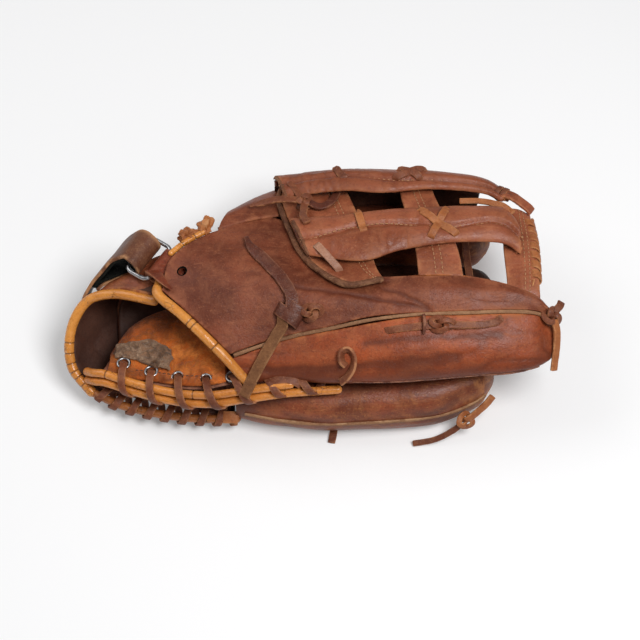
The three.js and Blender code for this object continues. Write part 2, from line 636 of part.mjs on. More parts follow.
const turn = STRAP_LOOP_RADIUS;
const roundBar = (degrees, radius) => {
  const angle = (degrees * Math.PI) / 180;
  return triple(onRing(0, -barHalf + radius * Math.cos(angle), radius * Math.sin(angle)));
};
const STRAP_UPPER = [[-156, 20, 29], [-160.5, 19.5, 42], [-153.5, 26, 55], [-145, 30, 66], [-136.5, 34, 76]];
const STRAP_ROUND = [120, 75, 30, -15, -60].map((degrees) => roundBar(degrees, turn));
const STRAP_LOWER = [[-127, 33.5, 61.5], [-135, 31.5, 56], [-145.5, 28, 50], [-152.5, 24, 44.5]];
const STRAP_LEAN = new THREE.Vector3(-0.35, -0.03, -0.56); // its far edge hangs, away from the ring
const strapSpans = STRAP_UPPER.length + STRAP_ROUND.length + STRAP_LOWER.length - 1;
const roundStart = STRAP_UPPER.length / strapSpans;
const roundEnd = 1 - STRAP_LOWER.length / strapSpans;
const strapLevel = (t) => {
  const share = ramp(t, roundStart, roundStart / 4) + ramp(t, roundEnd, mix(roundEnd, 1, 0.75));
  return RING_ALONG.clone().addScaledVector(STRAP_LEAN, share).normalize();
};
const strapRoute = smooth([...STRAP_UPPER, ...STRAP_ROUND, ...STRAP_LOWER]);
add('wrist_strap', LEATHER, strip(strapRoute, {
  width: STRAP_WIDTH, thickness: STRAP_THICKNESS, steps: 42, level: strapLevel,
}));
const PILE_START = 0.14; // the strap's end under the band is bare
const onPile = (t) => mix(PILE_START, 1, t);
const pileRoute = new THREE.Curve();
pileRoute.getPoint = (t) => strapRoute.getPoint(onPile(t));
add('strap_lining', PILE_BLACK, strip(pileRoute, {
  width: STRAP_WIDTH - 2 * STRAP_MARGIN, thickness: STRAP_PILE, steps: 36,
  level: (t) => strapLevel(onPile(t)),
  lift: (STRAP_THICKNESS + STRAP_PILE) / 2 + 2 * CLEARANCE,
}));

// Felt patch that shows inside the hand opening, on the thumb side of the lining

add('lining_felt', FELT_GREY, sheet(PALM, {
  thickness: FELT_THICKNESS, sink: (u, v) => liningSink(u, v) + LINING + CLEARANCE,
  uSteps: 3, vSteps: 3, uRange: [1 / PALM_COLUMNS, 3.4 / PALM_COLUMNS],
  vRange: [1.2 / PALM_ROWS, 4.1 / PALM_ROWS], side: 1,
}));

// Web: two straps along the pocket on a base, with a bar across them and a bar at the tip

const NEAR_POST = [
  [[-8, 18, 95], [-14.5, 36, 95], [-21, 52, 90]],
  [[28, 12, 98], [24, 32, 99], [20, 53, 94]],
  [[54, 21, 97], [50, 38, 99], [47, 56, 95]],
  [[88, 27, 97], [83, 42, 99], [78, 58, 95]],
  [[121, 28, 95], [121, 44, 97], [121, 60, 93]],
  [[135, 21, 92], [135.5, 37, 94], [131, 54, 90]],
];
const FAR_POST = [
  [[-24, 73, 83], [-28, 86, 81], [-33, 98, 72]],
  [[14, 75, 88], [13, 90, 86], [12, 103, 72]],
  [[42, 72, 90], [48, 88, 88], [54, 103, 72]],
  [[76, 75, 90], [82, 87.5, 88], [88, 99, 74]],
  [[110, 73, 88], [112.5, 82, 87], [115, 91, 78]],
  [[125, 67, 86], [128, 72, 84.5], [131, 77, 79]],
];
const WEB_BASE = [
  [[-36, 97, 66], [-10, 99, 63], [16, 100, 63]],
  [[-30, 78, 74], [-4, 78, 77], [20, 78, 79]],
  [[-20, 50, 82], [4, 51, 86], [27, 53, 87]],
  [[-11, 26, 87], [12, 27, 90], [33, 28, 91]],
  [[3, 8, 92], [21, 9, 92], [38, 10, 93]],
  [[20, -3, 95], [32, -1.5, 95], [42, 1, 95]],
];
const CROSSBAR = [
  [[55, 104, 62], [66, 105, 62], [77, 105, 62]],
  [[55, 78, 83], [66, 78, 84], [78, 78, 84]],
  [[59, 50, 92], [72, 50, 94], [85, 50, 94]],
  [[64, 25, 92], [78, 25, 93], [93, 25, 92]],
  [[66, 5, 90], [80, 5, 90], [96, 5, 90]],
];
const TOP_BAR = [
  [[129, 68, 78.5], [137, 66, 79.5], [145, 62, 78.5]],
  [[124, 38, 86], [136, 37, 88], [147, 35, 87]],
  [[125, 5, 87], [136, 2, 88], [147, -4, 87]],
];
const WEB_BASE_EDGE = [...WEB_BASE.map((row) => row[0]), WEB_BASE.at(-1)[2]];
const POST = { thickness: POST_THICKNESS, uSteps: 4, vSteps: 12, side: -1 };
add('web_near_post', WEB_TAN, sheet(NEAR_POST, POST));
add('web_far_post', WEB_TAN, sheet(FAR_POST, POST));
add('web_base_binding', BLACKENED, cord(shifted(WEB_BASE_EDGE, -1.6, -1.2, -0.6), EDGE_BINDING_RADIUS, 16));
add('web_base', WEB_TAN, sheet(WEB_BASE, { thickness: WEB_LEATHER, uSteps: 4, vSteps: 10, side: -1 }));
add('web_crossbar', WEB_TAN, sheet(CROSSBAR, { thickness: WEB_LEATHER, uSteps: 3, vSteps: 10, side: -1 }));
add('web_top_bar', WEB_TAN, sheet(TOP_BAR, { thickness: WEB_LEATHER, uSteps: 3, vSteps: 6, side: -1 }));

const CROTCH_PANEL = [
  [[-70, 49, 81], [-50, 55, 80], [-31, 63, 76]],
  [[-66, 62, 78], [-48, 74, 75], [-33, 82, 71]],
  [[-63, 74, 62], [-46, 88, 58], [-32, 97, 56]],
  [[-60, 82, 38], [-45, 95, 34], [-30, 98, 34]],
];
add('crotch_panel', LEATHER, sheet(CROTCH_PANEL, { thickness: SHELL, uSteps: 4, vSteps: 7, side: 1 }));

// Ties and free lace ends. Each lies on the leather and is pressed flat where it meets it.

const TIE = { width: LACE_WIDTH, thickness: LACE_THICKNESS, steps: 8, up: facing(0, -0.3, 1) };
const lace = (route, options = {}) => strip(route, { ...TIE, ...options });

// A lace turned once round itself, seen from above as a ring.
function knot([x, y, z], radius) {
  const route = new THREE.Curve();
  route.getPoint = (t) => {
    const angle = 2 * Math.PI * t;
    const across = radius * Math.sin(angle);
    return new THREE.Vector3(x + radius * Math.cos(angle), y + across, z + 0.3 * across);
  };
  return strip(route, {
    width: LACE_THICKNESS + radius, thickness: LACE_WIDTH, steps: 8, up: facing(0, 0, 1), closed: true,
  });
}

const KNOT_RADIUS = LACE_WIDTH * 0.75;
const KNOT_LIFT = LACE_WIDTH / 2 + CLEARANCE;
const LACE_LIFT = LACE_THICKNESS / 2 + CLEARANCE;
const onBack = above(THUMB_BACK, -1);
const onFront = above(THUMB_FRONT, 1);
const onNearPost = above(NEAR_POST, -1);
const onFarPost = above(FAR_POST, -1);
const onBase = above(WEB_BASE, -1);
const pullKnot = onBack(0.17, 0.215, KNOT_LIFT + 1);
add('pull_lace', LACE_BROWN, joined(
  lace([
    onBack(0.82, 0.225, LACE_LIFT + 2), onBack(0.63, 0.22, LACE_LIFT + 1),
    onBack(0.28, 0.24, LACE_LIFT + 1), pullKnot,
  ], { width: PULL_LACE_WIDTH, steps: 9, taper: (t) => mix(0.3, 1, Math.min(1, 3 * t)) }),
  knot(pullKnot, KNOT_RADIUS + 1.5),
  lace([pullKnot, onBack(0.02, 0.15, LACE_LIFT + 2), onFront(0.1, 0.06, LACE_LIFT + 3), [-51, -66, 53]], {
    width: PULL_LACE_WIDTH, up: facing(-0.3, -0.5, 1),
  }),
));
const tieKnot = onFront(0.055, 0.44, KNOT_LIFT + 0.5);
add('thumb_tie', LACE_BROWN, joined(
  lace([onFront(0.06, 0.335, LACE_LIFT + 0.3), onFront(0.06, 0.38, LACE_LIFT + 0.5), tieKnot], { steps: 4 }),
  knot(tieKnot, KNOT_RADIUS),
  lace([tieKnot, onFront(0.055, 0.52, LACE_LIFT + 1), onFront(0.05, 0.59, LACE_LIFT + 0.3)], { steps: 4 }),
));
add('thumb_loop_end', LACE_BROWN, lace([
  onFront(0.07, 0.25, LACE_LIFT), onFront(0.09, 0.275, LACE_LIFT + 1), onFront(0.18, 0.275, LACE_LIFT + 1),
  onFront(0.3, 0.25, LACE_LIFT),
], { steps: 8, up: facing(0, -0.7, 0.7) }));
const tipKnot = onBack(0.5, 0.86, KNOT_LIFT);
add('thumb_tip_tie', LACE_BROWN, joined(
  lace([[161, -10, 80], tipKnot], { steps: 3 }),
  knot(tipKnot, KNOT_RADIUS - 0.6),
  lace([tipKnot, [160, -26, 76], [160, -36, 68], [156, -46, 59]], { steps: 7, up: facing(1, 0, 0.3) }),
));
const pinkyKnot = [100, -66, 18];
add('pinky_tie', LACE_BROWN, joined(
  lace([[118, -53, 28], [110, -60, 22], pinkyKnot], { steps: 5, up: facing(0.4, -0.8, 0.5) }),
  knot(pinkyKnot, KNOT_RADIUS - 0.6),
  lace([pinkyKnot, [86, -72, 8], [66, -75, 2.4]], { steps: 6, up: facing(0, -0.6, 0.8) }),
));
add('pinky_lace_end', LACE_BROWN, lace([[10, -60, 1.6], [8, -75, 1.6]], { steps: 3, up: facing(0, 0, 1) }));
add('finger_lace', LACE_BROWN, lace([
  [98, -58, 37], [100, -42, 45], [103, -23, 38], [105, -3, 34], [105, 17, 30], [105, 36, 34],
  [103, 56, 37], [101, 74, 47], [99, 90, 42],
], { steps: 22, up: facing(0, 0, 1) }));
const baseKnot = onBase(0.36, 0.37, KNOT_LIFT + 1);
add('web_base_tie', LACE_BROWN, joined(
  lace([[-48, 65, 82], [-31, 64, 88], baseKnot], { steps: 6, taper: (t) => mix(0.4, 1, Math.min(1, 3 * t)) }),
  knot(baseKnot, KNOT_RADIUS),
  lace([baseKnot, onBase(0.68, 0.4, LACE_LIFT + 2), onBase(0.85, 0.39, LACE_LIFT + 1)], { steps: 6 }),
));
add('web_tip_thong', LACE_BROWN, lace([
  [96, 67.6, 85.5], [104, 67.2, 86], [112, 66, 87], [119, 63.8, 88], [125, 61.6, 88.5], [131, 54, 92],
], { steps: 10 }));
const crossing = onNearPost(0.48, 0.58, LACE_LIFT + 1);
add('web_cross_lace', LACE_BROWN, joined(
  lace([onNearPost(0.75, 0.53, LACE_LIFT), crossing, onNearPost(0.2, 0.63, LACE_LIFT)], { steps: 4 }),
  lace([onNearPost(0.75, 0.63, LACE_LIFT), crossing, onNearPost(0.2, 0.53, LACE_LIFT)], { steps: 4 }),
));
const WEB_LACES = [
  [onNearPost(0.95, 0.22, LACE_LIFT), onNearPost(0.75, 0.22, LACE_LIFT), onNearPost(0.55, 0.22, LACE_LIFT)],
  [onNearPost(0.3, 0.06, LACE_LIFT), onNearPost(0.02, 0.13, LACE_LIFT), onBase(0.24, 0.84, LACE_LIFT)],
  [onFarPost(0.75, 0.21, LACE_LIFT), onFarPost(0.5, 0.21, LACE_LIFT), onFarPost(0.2, 0.21, LACE_LIFT)],
  [onFarPost(0.75, 0.47, LACE_LIFT), onFarPost(0.5, 0.5, LACE_LIFT), onFarPost(0.2, 0.54, LACE_LIFT)],
];
WEB_LACES.forEach((route, i) => add(`web_lace_${i + 1}`, LACE_BROWN, lace(route, { steps: 4 })));

// A strip of binding left along the far edge of the back panel

add('back_binding', PIPING_TAN, cord([[-101, 27, 83], [-92, 36, 82], [-78, 46, 81]], EDGE_BINDING_RADIUS, 6));

// The origin lies under the middle of the whole, on the ground

const whole = new THREE.Box3().setFromObject(glove);
const middle = whole.getCenter(new THREE.Vector3());
for (const mesh of glove.children) mesh.geometry.translate(-middle.x, -middle.y, -whole.min.z);

export default glove;
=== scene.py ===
"""A worn softball glove, folded shut and lying on the backs of its fingers.

Shapes are drawn in millimetres, in the drawing's own frame, and placed in the frame's metres by place().
X runs from the wrist to the fingertips, Y from the open mouth to the web, Z up.
"""

import math

import bpy
import mathutils
import numpy as np
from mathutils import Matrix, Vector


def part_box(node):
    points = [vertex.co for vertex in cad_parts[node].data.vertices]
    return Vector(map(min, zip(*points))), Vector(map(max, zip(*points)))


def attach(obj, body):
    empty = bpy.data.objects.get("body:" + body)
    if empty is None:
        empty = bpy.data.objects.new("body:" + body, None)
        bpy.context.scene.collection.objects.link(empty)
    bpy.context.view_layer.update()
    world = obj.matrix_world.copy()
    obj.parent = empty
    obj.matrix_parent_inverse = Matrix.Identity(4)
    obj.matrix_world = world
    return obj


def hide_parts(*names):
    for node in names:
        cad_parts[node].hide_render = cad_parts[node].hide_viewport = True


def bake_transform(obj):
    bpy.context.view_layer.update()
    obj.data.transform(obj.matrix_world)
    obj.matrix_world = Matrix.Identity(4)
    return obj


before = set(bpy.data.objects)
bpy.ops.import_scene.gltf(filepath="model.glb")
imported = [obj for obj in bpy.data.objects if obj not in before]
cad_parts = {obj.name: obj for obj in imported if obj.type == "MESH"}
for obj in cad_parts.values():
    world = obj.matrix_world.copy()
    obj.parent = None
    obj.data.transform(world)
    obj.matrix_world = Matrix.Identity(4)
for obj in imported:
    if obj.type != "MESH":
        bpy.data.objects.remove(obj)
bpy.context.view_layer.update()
bpy.ops.object.select_all(action="DESELECT")

# Sizes of the leather, in millimetres
MM = 0.001
CLEARANCE = 0.35
SHELL = 3.6
PALM_LEATHER = 3.0
LINING = 2.0
BAND_LEATHER = 3.0
STALL_WALL = 4.0
PIPING_RADIUS = 2.9
WRIST_PIPING_RADIUS = 3.4
LACE_WIDTH = 5.2
LACE_THICKNESS = 2.2
PULL_LACE_WIDTH = 8.5
POST_THICKNESS = 5.2
WEB_LEATHER = 3.2
EDGE_BINDING_RADIUS = 2.0
STRAP_WIDTH = 26.0
STRAP_THICKNESS = 2.4
STRAP_PILE = 2.2
STRAP_MARGIN = 1.0
STRAP_LOOP_RADIUS = 8.4
RING_WIRE_RADIUS = 1.5
RING_PLAY = 0.5
RING_WIDTH = 21.0
RING_CORNER = 5.0
TAB_WIDTH = 24.0
TAB_THICKNESS = 2.2
EYELETS = 5
EYELET_SHARE = 0.38
EYELET_RADIUS = 4.1
EYELET_WIRE = 0.9
VENT_RADIUS = 3.6
VENT_WIRE = 0.6
PAD_THICKNESS = 4.0
FELT_THICKNESS = 1.6
HEEL_LACE_PITCH = 21.3
PINKY_LACE_PITCH = 12.0
TIP_LACE_PITCH = 7.4
TIP_LACE_WIDTH = 5.2
TIP_LACE_THICKNESS = 1.6
STITCH_PITCH = 3.3
MESH_SPACING = 1.5

RING_CENTRE = np.array([-116.0, 26.0, 78.0])
ring_low, ring_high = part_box("strap_ring")
ORIGIN = (np.array(ring_low) + np.array(ring_high)) / (2 * MM) - RING_CENTRE


def place(points):
    """Drawing millimetres to the frame's metres."""
    return (np.asarray(points, float) + ORIGIN) * MM


# Smooth lines and noise


def unit(vectors):
    """Vectors of length 1."""
    return vectors / np.maximum(np.linalg.norm(vectors, axis=-1, keepdims=True), 1e-9)


def ramp(x, start, end):
    """A soft step from 0 at start to 1 at end."""
    t = np.clip((np.asarray(x, float) - start) / (end - start), 0, 1)
    return t * t * (3 - 2 * t)


def catmull(points, shares):
    """A smooth line through points, at shares of its steps from 0 to 1."""
    p = np.asarray(points, float)
    padded = np.concatenate([[2 * p[0] - p[1]], p, [2 * p[-1] - p[-2]]])
    spans = len(p) - 1
    x = np.clip(np.asarray(shares, float), 0, 1) * spans
    i = np.minimum(x.astype(int), spans - 1)
    s = (x - i).reshape((-1,) + (1,) * (p.ndim - 1))
    a, b, c, d = (padded[i + k] for k in range(4))
    return b + 0.5 * s * ((c - a) + s * (2 * a - 5 * b + 4 * c - d + s * (3 * (b - c) + d - a)))


def evenly(line, spacing):
    """Points about spacing apart along a line of close points."""
    steps = np.linalg.norm(np.diff(line[:, :3], axis=0), axis=1)
    run = np.concatenate([[0], np.cumsum(steps)])
    wanted = np.linspace(0, run[-1], max(2, int(round(run[-1] / spacing)) + 1))
    return np.stack([np.interp(wanted, run, line[:, k]) for k in range(line.shape[1])], axis=1)


def line_through(points, spacing):
    """Points about spacing apart on a smooth line through a few points, without overshoot."""
    p = np.asarray(points, float)
    p = np.vstack([2 * p[0] - p[1], p, 2 * p[-1] - p[-2]])
    s = np.linspace(0, 1, 24, endpoint=False)[:, None]
    runs = []
    for a, b, c, d in zip(p, p[1:], p[2:], p[3:]):
        ab, bc, cd = (math.sqrt(max(np.linalg.norm(y - x), 1e-6)) for x, y in ((a, b), (b, c), (c, d)))
        leave = bc * ((b - a) / ab - (c - a) / (ab + bc) + (c - b) / bc)
        arrive = bc * ((c - b) / bc - (d - b) / (bc + cd) + (d - c) / cd)
        square = 3 * (c - b) - 2 * leave - arrive
        cube = 2 * (b - c) + leave + arrive
        runs.append(b + s * leave + s**2 * square + s**3 * cube)
    return evenly(np.vstack(runs + [p[-2:-1]]), spacing)


def mottle(points, size, seed=0):
    """Smooth noise from -1 to 1 with lumps about size across. size may differ from axis to axis."""
    q = np.asarray(points, float) / np.asarray(size, float) + 17.31 * seed
    cell = np.floor(q).astype(np.int64)
    part = q - cell
    part = part * part * (3 - 2 * part)
    total = np.zeros(q.shape[:-1])
    for corner in range(8):
        bits = np.array([corner & 1, corner >> 1 & 1, corner >> 2 & 1])
        share = np.prod(np.where(bits == 1, part, 1 - part), axis=-1)
        c = cell + bits
        mixed = (c[..., 0] * 73856093) ^ (c[..., 1] * 19349663) ^ (c[..., 2] * 83492791)
        mixed = ((mixed ^ (mixed >> 13)) * 1274126177) & 0x7FFFFFFF
        total += share * ((mixed ^ (mixed >> 15)) & 0xFFFF) / 32767.5
    return total - 1


def folds(points, size, seed=0):
    """Narrow lines from 0 to 1, as wrinkles run in leather."""
    return (1 - np.abs(mottle(points, size, seed))) ** 5


def distance_to(points, line):
    """How far points lie from a line of straight runs, in as many axes as the line has."""
    line = np.asarray(line, float)
    p = points[..., : line.shape[1]]
    best = np.full(points.shape[:-1], 1e9)
    for a, b in zip(line, line[1:]):
        run = b - a
        t = np.clip(((p - a) @ run) / (run @ run), 0, 1)
        best = np.minimum(best, np.linalg.norm(p - a - t[..., None] * run, axis=-1))
    return best


def grooves(points, lines, width):
    """1 in the middle of any of the lines, falling to 0 at its sides."""
    marks = np.zeros(points.shape[:-1])
    for line in lines:
        marks = np.maximum(marks, np.exp(-((distance_to(points, line) / width) ** 2)))
    return marks


# Leather surfaces


class Panel:
    """A surface through rows of points. u runs along each row and v from row to row, from 0 to 1.

    side picks the face that shows. relief(points, u, v) gives heights above it and a mask of creases and
    painted shade.
    """

    def __init__(self, rows, side, relief):
        self.rows = np.asarray(rows, float)
        self.side = side
        self.relief = relief

    def lines(self, u_range, v_range, spacing, rim):
        """Shares in u and v that lie about spacing apart, closer at the rim."""
        span = self.smooth(np.linspace(*u_range, 9), np.linspace(*v_range, 9))
        wide = np.linalg.norm(np.diff(span, axis=1), axis=2).sum(axis=1).max()
        long = np.linalg.norm(np.diff(span, axis=0), axis=2).sum(axis=0).max()
        shares = []
        for (low, high), length in ((u_range, wide), (v_range, long)):
            even = np.linspace(0, 1, int(length / spacing) + 2)
            close = np.array([0.12, 0.4]) * rim / length
            shares.append(low + (high - low) * np.unique(np.concatenate([even, close, 1 - close])))
        return shares

    def smooth(self, us, vs):
        across = catmull(np.swapaxes(self.rows, 0, 1), us)
        return catmull(np.swapaxes(across, 0, 1), vs)

    def grid(self, us, vs):
        """Skin points in rows, and the mask of their creases and painted shade."""
        skin = self.smooth(us, vs)
        out = self.side * unit(np.cross(np.gradient(skin, axis=1), np.gradient(skin, axis=0)))
        u, v = np.meshgrid(us, vs)
        height, crease_and_shade = self.relief(skin, u, v)
        return skin + out * height[..., None], crease_and_shade

    def at(self, u, v, lift=0.0):
        """Points on the skin, raised by lift, and the ways that they face."""
        u, v, lift = np.broadcast_arrays(np.atleast_1d(u), np.atleast_1d(v), lift)
        u = u.astype(float)
        v = v.astype(float)
        step = 0.004
        around = [(u, v), (u - step, v), (u + step, v), (u, v - step), (u, v + step)]
        middle, left, right, back, front = (self._pairs(a, b) for a, b in around)
        out = self.side * unit(np.cross(right - left, front - back))
        height, _ = self.relief(middle, u, v)
        return middle + out * (height + lift)[:, None], out

    def _pairs(self, us, vs):
        across = catmull(np.swapaxes(self.rows, 0, 1), np.clip(us, 0, 1))
        return np.array([catmull(column, [share])[0] for column, share in zip(across, np.clip(vs, 0, 1))])


def hide(seed, swell=0.6, fold_depth=0.4, fold_size=(30, 7, 7), lines=(), line_depth=0.9, line_width=1.5,
         lift=0.0, shade=None):
    """Relief of a worn hide: soft swells, fine wrinkles and a few deep creases, with painted shade in the
    wrinkles and creases. shade paints more shade onto parts of it.
    """

    def relief(points, u, v):
        fine = folds(points, fold_size, seed + 1) * ramp(mottle(points, 35, seed + 2), -0.3, 0.5)
        deep = grooves(points + 1.2 * mottle(points, 9, seed + 3)[..., None], lines, line_width)
        height = swell * mottle(points, 26, seed) + 0.12 * mottle(points, 5, seed + 4)
        raised = lift(u, v) if callable(lift) else lift
        painted_shade = 0.0 if shade is None else shade(u, v)
        # Painted shade: darker in the wrinkles and creases, and wherever shade() paints it.
        dark = np.clip(0.6 * fine + deep + painted_shade, 0, 1)
        return height + raised - fold_depth * fine - line_depth * deep, dark

    return relief


def no_relief(points, u, v):
    """A bare surface without marks."""
    flat = np.zeros(points.shape[:-1])
    return flat, flat


# Making meshes


def pick(piece):
    """Makes a piece the only one selected, and the active one."""
    bpy.ops.object.select_all(action="DESELECT")
    piece.select_set(True)
    bpy.context.view_layer.objects.active = piece


def edit(piece, *steps):
    """Runs edit-mode operators on all of a piece."""
    pick(piece)
    bpy.ops.object.mode_set(mode="EDIT")
    bpy.ops.mesh.select_all(action="SELECT")
    for step in steps:
        step()
    bpy.ops.object.mode_set(mode="OBJECT")


def merge():
    bpy.ops.mesh.remove_doubles(threshold=2e-6)


def face_out():
    bpy.ops.mesh.normals_make_consistent(inside=False)


def finish_with(piece, kind, **settings):
    """Adds a modifier and applies it."""
    modifier = piece.modifiers.new(kind.lower(), kind)
    for key, value in settings.items():
        setattr(modifier, key, value)
    pick(piece)
    bpy.ops.object.modifier_apply(modifier=modifier.name)


def soften(piece, angle):
    """Smooth shading, with edges sharper than the angle kept."""
    pick(piece)
    bpy.ops.object.shade_smooth_by_angle(angle=math.radians(angle))


def mask(piece, name, values):
    """Stores a value at each point, for the finishes to read."""
    layer = piece.data.attributes.new(name, "FLOAT", "POINT")
    layer.data.foreach_set("value", np.asarray(values, np.float32).ravel())


def grid_piece(name, points):
    """A grid laid over rows of points."""
    rows, columns = points.shape[:2]
    bpy.ops.mesh.primitive_grid_add(x_subdivisions=columns - 1, y_subdivisions=rows - 1, size=1)
    piece = bpy.context.object
    piece.name = f"{name}_finished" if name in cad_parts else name
    piece.data.name = piece.name
    piece.data.vertices.foreach_set("co", place(points).astype(np.float32).ravel())
    piece.data.update()
    return piece


def rim_distance(skin):
    """How far each point of a grid lies from the grid's rim."""
    wide = np.linalg.norm(np.diff(skin, axis=1), axis=2).cumsum(axis=1)
    long = np.linalg.norm(np.diff(skin, axis=0), axis=2).cumsum(axis=0)
    wide = np.pad(wide, ((0, 0), (1, 0)))
    long = np.pad(long, ((1, 0), (0, 0)))
    return np.minimum.reduce([wide, wide[:, -1:] - wide, long, long[-1:] - long])


def sheet_piece(name, panel, thickness, u_range=(0, 1), v_range=(0, 1), spacing=MESH_SPACING, roll=1.4,
                ragged=0.0, worn=1.0):
    """Leather of one thickness whose rim is rolled over and worn pale. A ragged rim is bitten by noise."""
    us, vs = panel.lines(u_range, v_range, spacing, roll)
    skin, crease_and_shade = panel.grid(us, vs)
    out = panel.side * unit(np.cross(np.gradient(skin, axis=1), np.gradient(skin, axis=0)))
    near = rim_distance(skin)
    inside = np.clip(near, 0, roll)
    skin = skin - out * (roll - np.sqrt(roll**2 - (roll - inside) ** 2))[..., None]
    if ragged:
        middle = skin.mean(axis=(0, 1))
        pull = ragged * ramp(near, 6, 0) * (0.5 + 0.5 * mottle(skin, 5, 3))
        skin = skin - unit(skin - middle) * pull[..., None]
    piece = grid_piece(name, skin)
    mask(piece, "crease_and_shade", crease_and_shade)
    mask(piece, "edge", worn * np.exp(-near / 1.6))
    if panel.side < 0:
        edit(piece, bpy.ops.mesh.flip_normals)
    finish_with(piece, "SOLIDIFY", thickness=thickness * MM, offset=-1)
    bevel = min(0.5, 0.2 * thickness) * MM
    sharp = math.radians(55)
    finish_with(piece, "BEVEL", width=bevel, segments=2, limit_method="ANGLE", angle_limit=sharp)
    soften(piece, 60)
    return piece


def oblong(half_width, half_height, power, sides):
    """A rounded oblong round a lace or strap, squarer as power rises."""
    angle = np.linspace(0, 2 * math.pi, sides + 1)
    c, s = np.cos(angle), np.sin(angle)
    a = np.sign(c) * np.abs(c) ** (2 / power)
    b = np.sign(s) * np.abs(s) ** (2 / power)
    return half_width * a, half_height * b


def sweep_piece(name, route, up, width, thickness, power=2.0, sides=16, ends="round", level=None, wear=0.0,
                seed=0, waist=None, creases=None):
    """A cord, lace or strap along close points.

    up is the way its face looks, or level the way its width lies. waist scales the section along the route.
    wear roughens the surface by that height.
    """
    route = np.asarray(route, float)
    tangent = unit(np.gradient(route, axis=0))
    if level is None:
        face = np.broadcast_to(np.asarray(up, float), route.shape)
        face = unit(face - (face * tangent).sum(axis=1, keepdims=True) * tangent)
    else:
        face = unit(np.cross(np.broadcast_to(np.asarray(level, float), route.shape), tangent))
    across = np.cross(tangent, face)
    scale = np.ones(len(route)) if waist is None else np.asarray(waist, float)
    a, b = oblong(0.5 * width, 0.5 * thickness, power, sides)
    cap = np.linspace(0, 0.5 * math.pi, 5)[1:] if ends == "round" else np.array([0.28, 0.5]) * math.pi
    reach = 0.5 * thickness if ends == "round" else 0.35
    order = [0] * len(cap) + list(range(len(route))) + [len(route) - 1] * len(cap)
    shrink = np.concatenate([np.cos(cap[::-1]), np.ones(len(route)), np.cos(cap)])
    shift = np.concatenate([-reach * np.sin(cap[::-1]), np.zeros(len(route)), reach * np.sin(cap)])
    middle = route[order] + tangent[order] * shift[:, None]
    size = (shrink * scale[order])[:, None, None]
    section = across[order][:, None] * a[:, None] + face[order][:, None] * b[:, None]
    rings = middle[:, None] + size * section
    if wear:
        spoke = unit(rings - middle[:, None])
        rough = 0.6 * mottle(rings, 6, seed) + 0.4 * mottle(rings, 2.2, seed + 1)
        rings = rings + spoke * (wear * rough * shrink[:, None])[..., None]
    rings[:, -1] = rings[:, 0]
    piece = grid_piece(name, rings)
    raw = ramp(np.abs(a) / (0.5 * width), 0.75, 1.0)[None] * np.ones(len(rings))[:, None]
    raw = np.maximum(raw, ramp(shrink, 1.0, 0.6)[:, None]) if ends != "round" else raw
    mask(piece, "edge", raw)
    # Painted shade in small folds, unless creases are given.
    if creases is None:
        lines = 0.5 * folds(rings, (3, 3, 3), seed + 5)
    else:
        lines = creases[order][:, None] * np.ones_like(a)
    mask(piece, "crease_and_shade", lines)
    edit(piece, merge, face_out)
    soften(piece, 60)
    return piece


def ride(piece, finish, slot, body, *nodes):
    """Gives a piece its finish and its body, and hides the solids that it stands for."""
    dress(piece, finish)
    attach(piece, body)
    if nodes:
        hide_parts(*nodes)


def bend(piece, finish, slot, span, *nodes):
    """For leather that bends from the finger side to the thumb side as the glove opens: gives it its finish,
    bakes its place into its points and hides the solids that it stands for. It is put on no body.
    """
    dress(piece, finish)
    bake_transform(piece)
    if nodes:
        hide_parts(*nodes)


def dress(piece, finish):
    """Gives a piece its finish."""
    piece.data.materials.clear()
    piece.data.materials.append(finish)


# Shader groups


def add_node(tree, kind, inputs=None, **settings):
    """A node with its settings, and its inputs set or linked."""
    made = tree.nodes.new(kind)
    for key, value in settings.items():
        setattr(made, key, value)
    for key, value in (inputs or {}).items():
        if isinstance(value, bpy.types.NodeSocket):
            tree.links.new(value, made.inputs[key])
        else:
            made.inputs[key].default_value = value
    return made


def blend_colour(tree, share, first, second):
    """The first colour, with a share of the second over it."""
    return add_node(tree, "ShaderNodeMix", {0: share, 6: first, 7: second}, data_type="RGBA").outputs[2]


def maths(tree, operation, first, second=0.0, clamp=False):
    inputs = {0: first, 1: second}
    return add_node(tree, "ShaderNodeMath", inputs, operation=operation, use_clamp=clamp).outputs[0]


def scaled(tree, value, share):
    return maths(tree, "MULTIPLY", value, share)


def between(tree, value, low, high):
    """0 where value is under low, 1 where it is over high."""
    inputs = {0: value, 1: low, 2: high}
    return add_node(tree, "ShaderNodeMapRange", inputs, interpolation_type="SMOOTHSTEP").outputs[0]


def object_place(tree):
    return add_node(tree, "ShaderNodeTexCoord").outputs["Object"]


def noise(tree, where, scale, detail=3.0, roughness=0.55, distortion=0.0):
    inputs = {"Vector": where, "Scale": scale, "Detail": detail, "Roughness": roughness,
              "Distortion": distortion}
    return add_node(tree, "ShaderNodeTexNoise", inputs).outputs[0]


def stretched(tree, scale):
    """Object coordinates drawn out along one axis."""
    return add_node(tree, "ShaderNodeMapping", {"Vector": object_place(tree), "Scale": scale}).outputs[0]


def dimples(tree, where, scale):
    return add_node(tree, "ShaderNodeTexVoronoi", {"Vector": where, "Scale": scale}).outputs["Distance"]


def new_group(name, inputs, outputs):
    """An empty shader group, with the sockets that it is given by and that it puts out."""
    group = bpy.data.node_groups.new(name, "ShaderNodeTree")
    for label, kind in inputs.items():
        group.interface.new_socket(label, in_out="INPUT", socket_type=kind)
    for label, kind in outputs.items():
        group.interface.new_socket(label, in_out="OUTPUT", socket_type=kind)
    return group, group.nodes.new("NodeGroupInput").outputs, group.nodes.new("NodeGroupOutput").inputs


def layered(tree, given, layers):
    """The main colour with the dark and the pale one laid over it, each by its share."""
    colour = given["Main"]
    for share, over in layers:
        colour = blend_colour(tree, share, colour, given[over])
    return colour


COLOUR = "NodeSocketColor"
VALUE = "NodeSocketFloat"
THREE_COLOURS = {"Main": COLOUR, "Dark": COLOUR, "Pale": COLOUR}


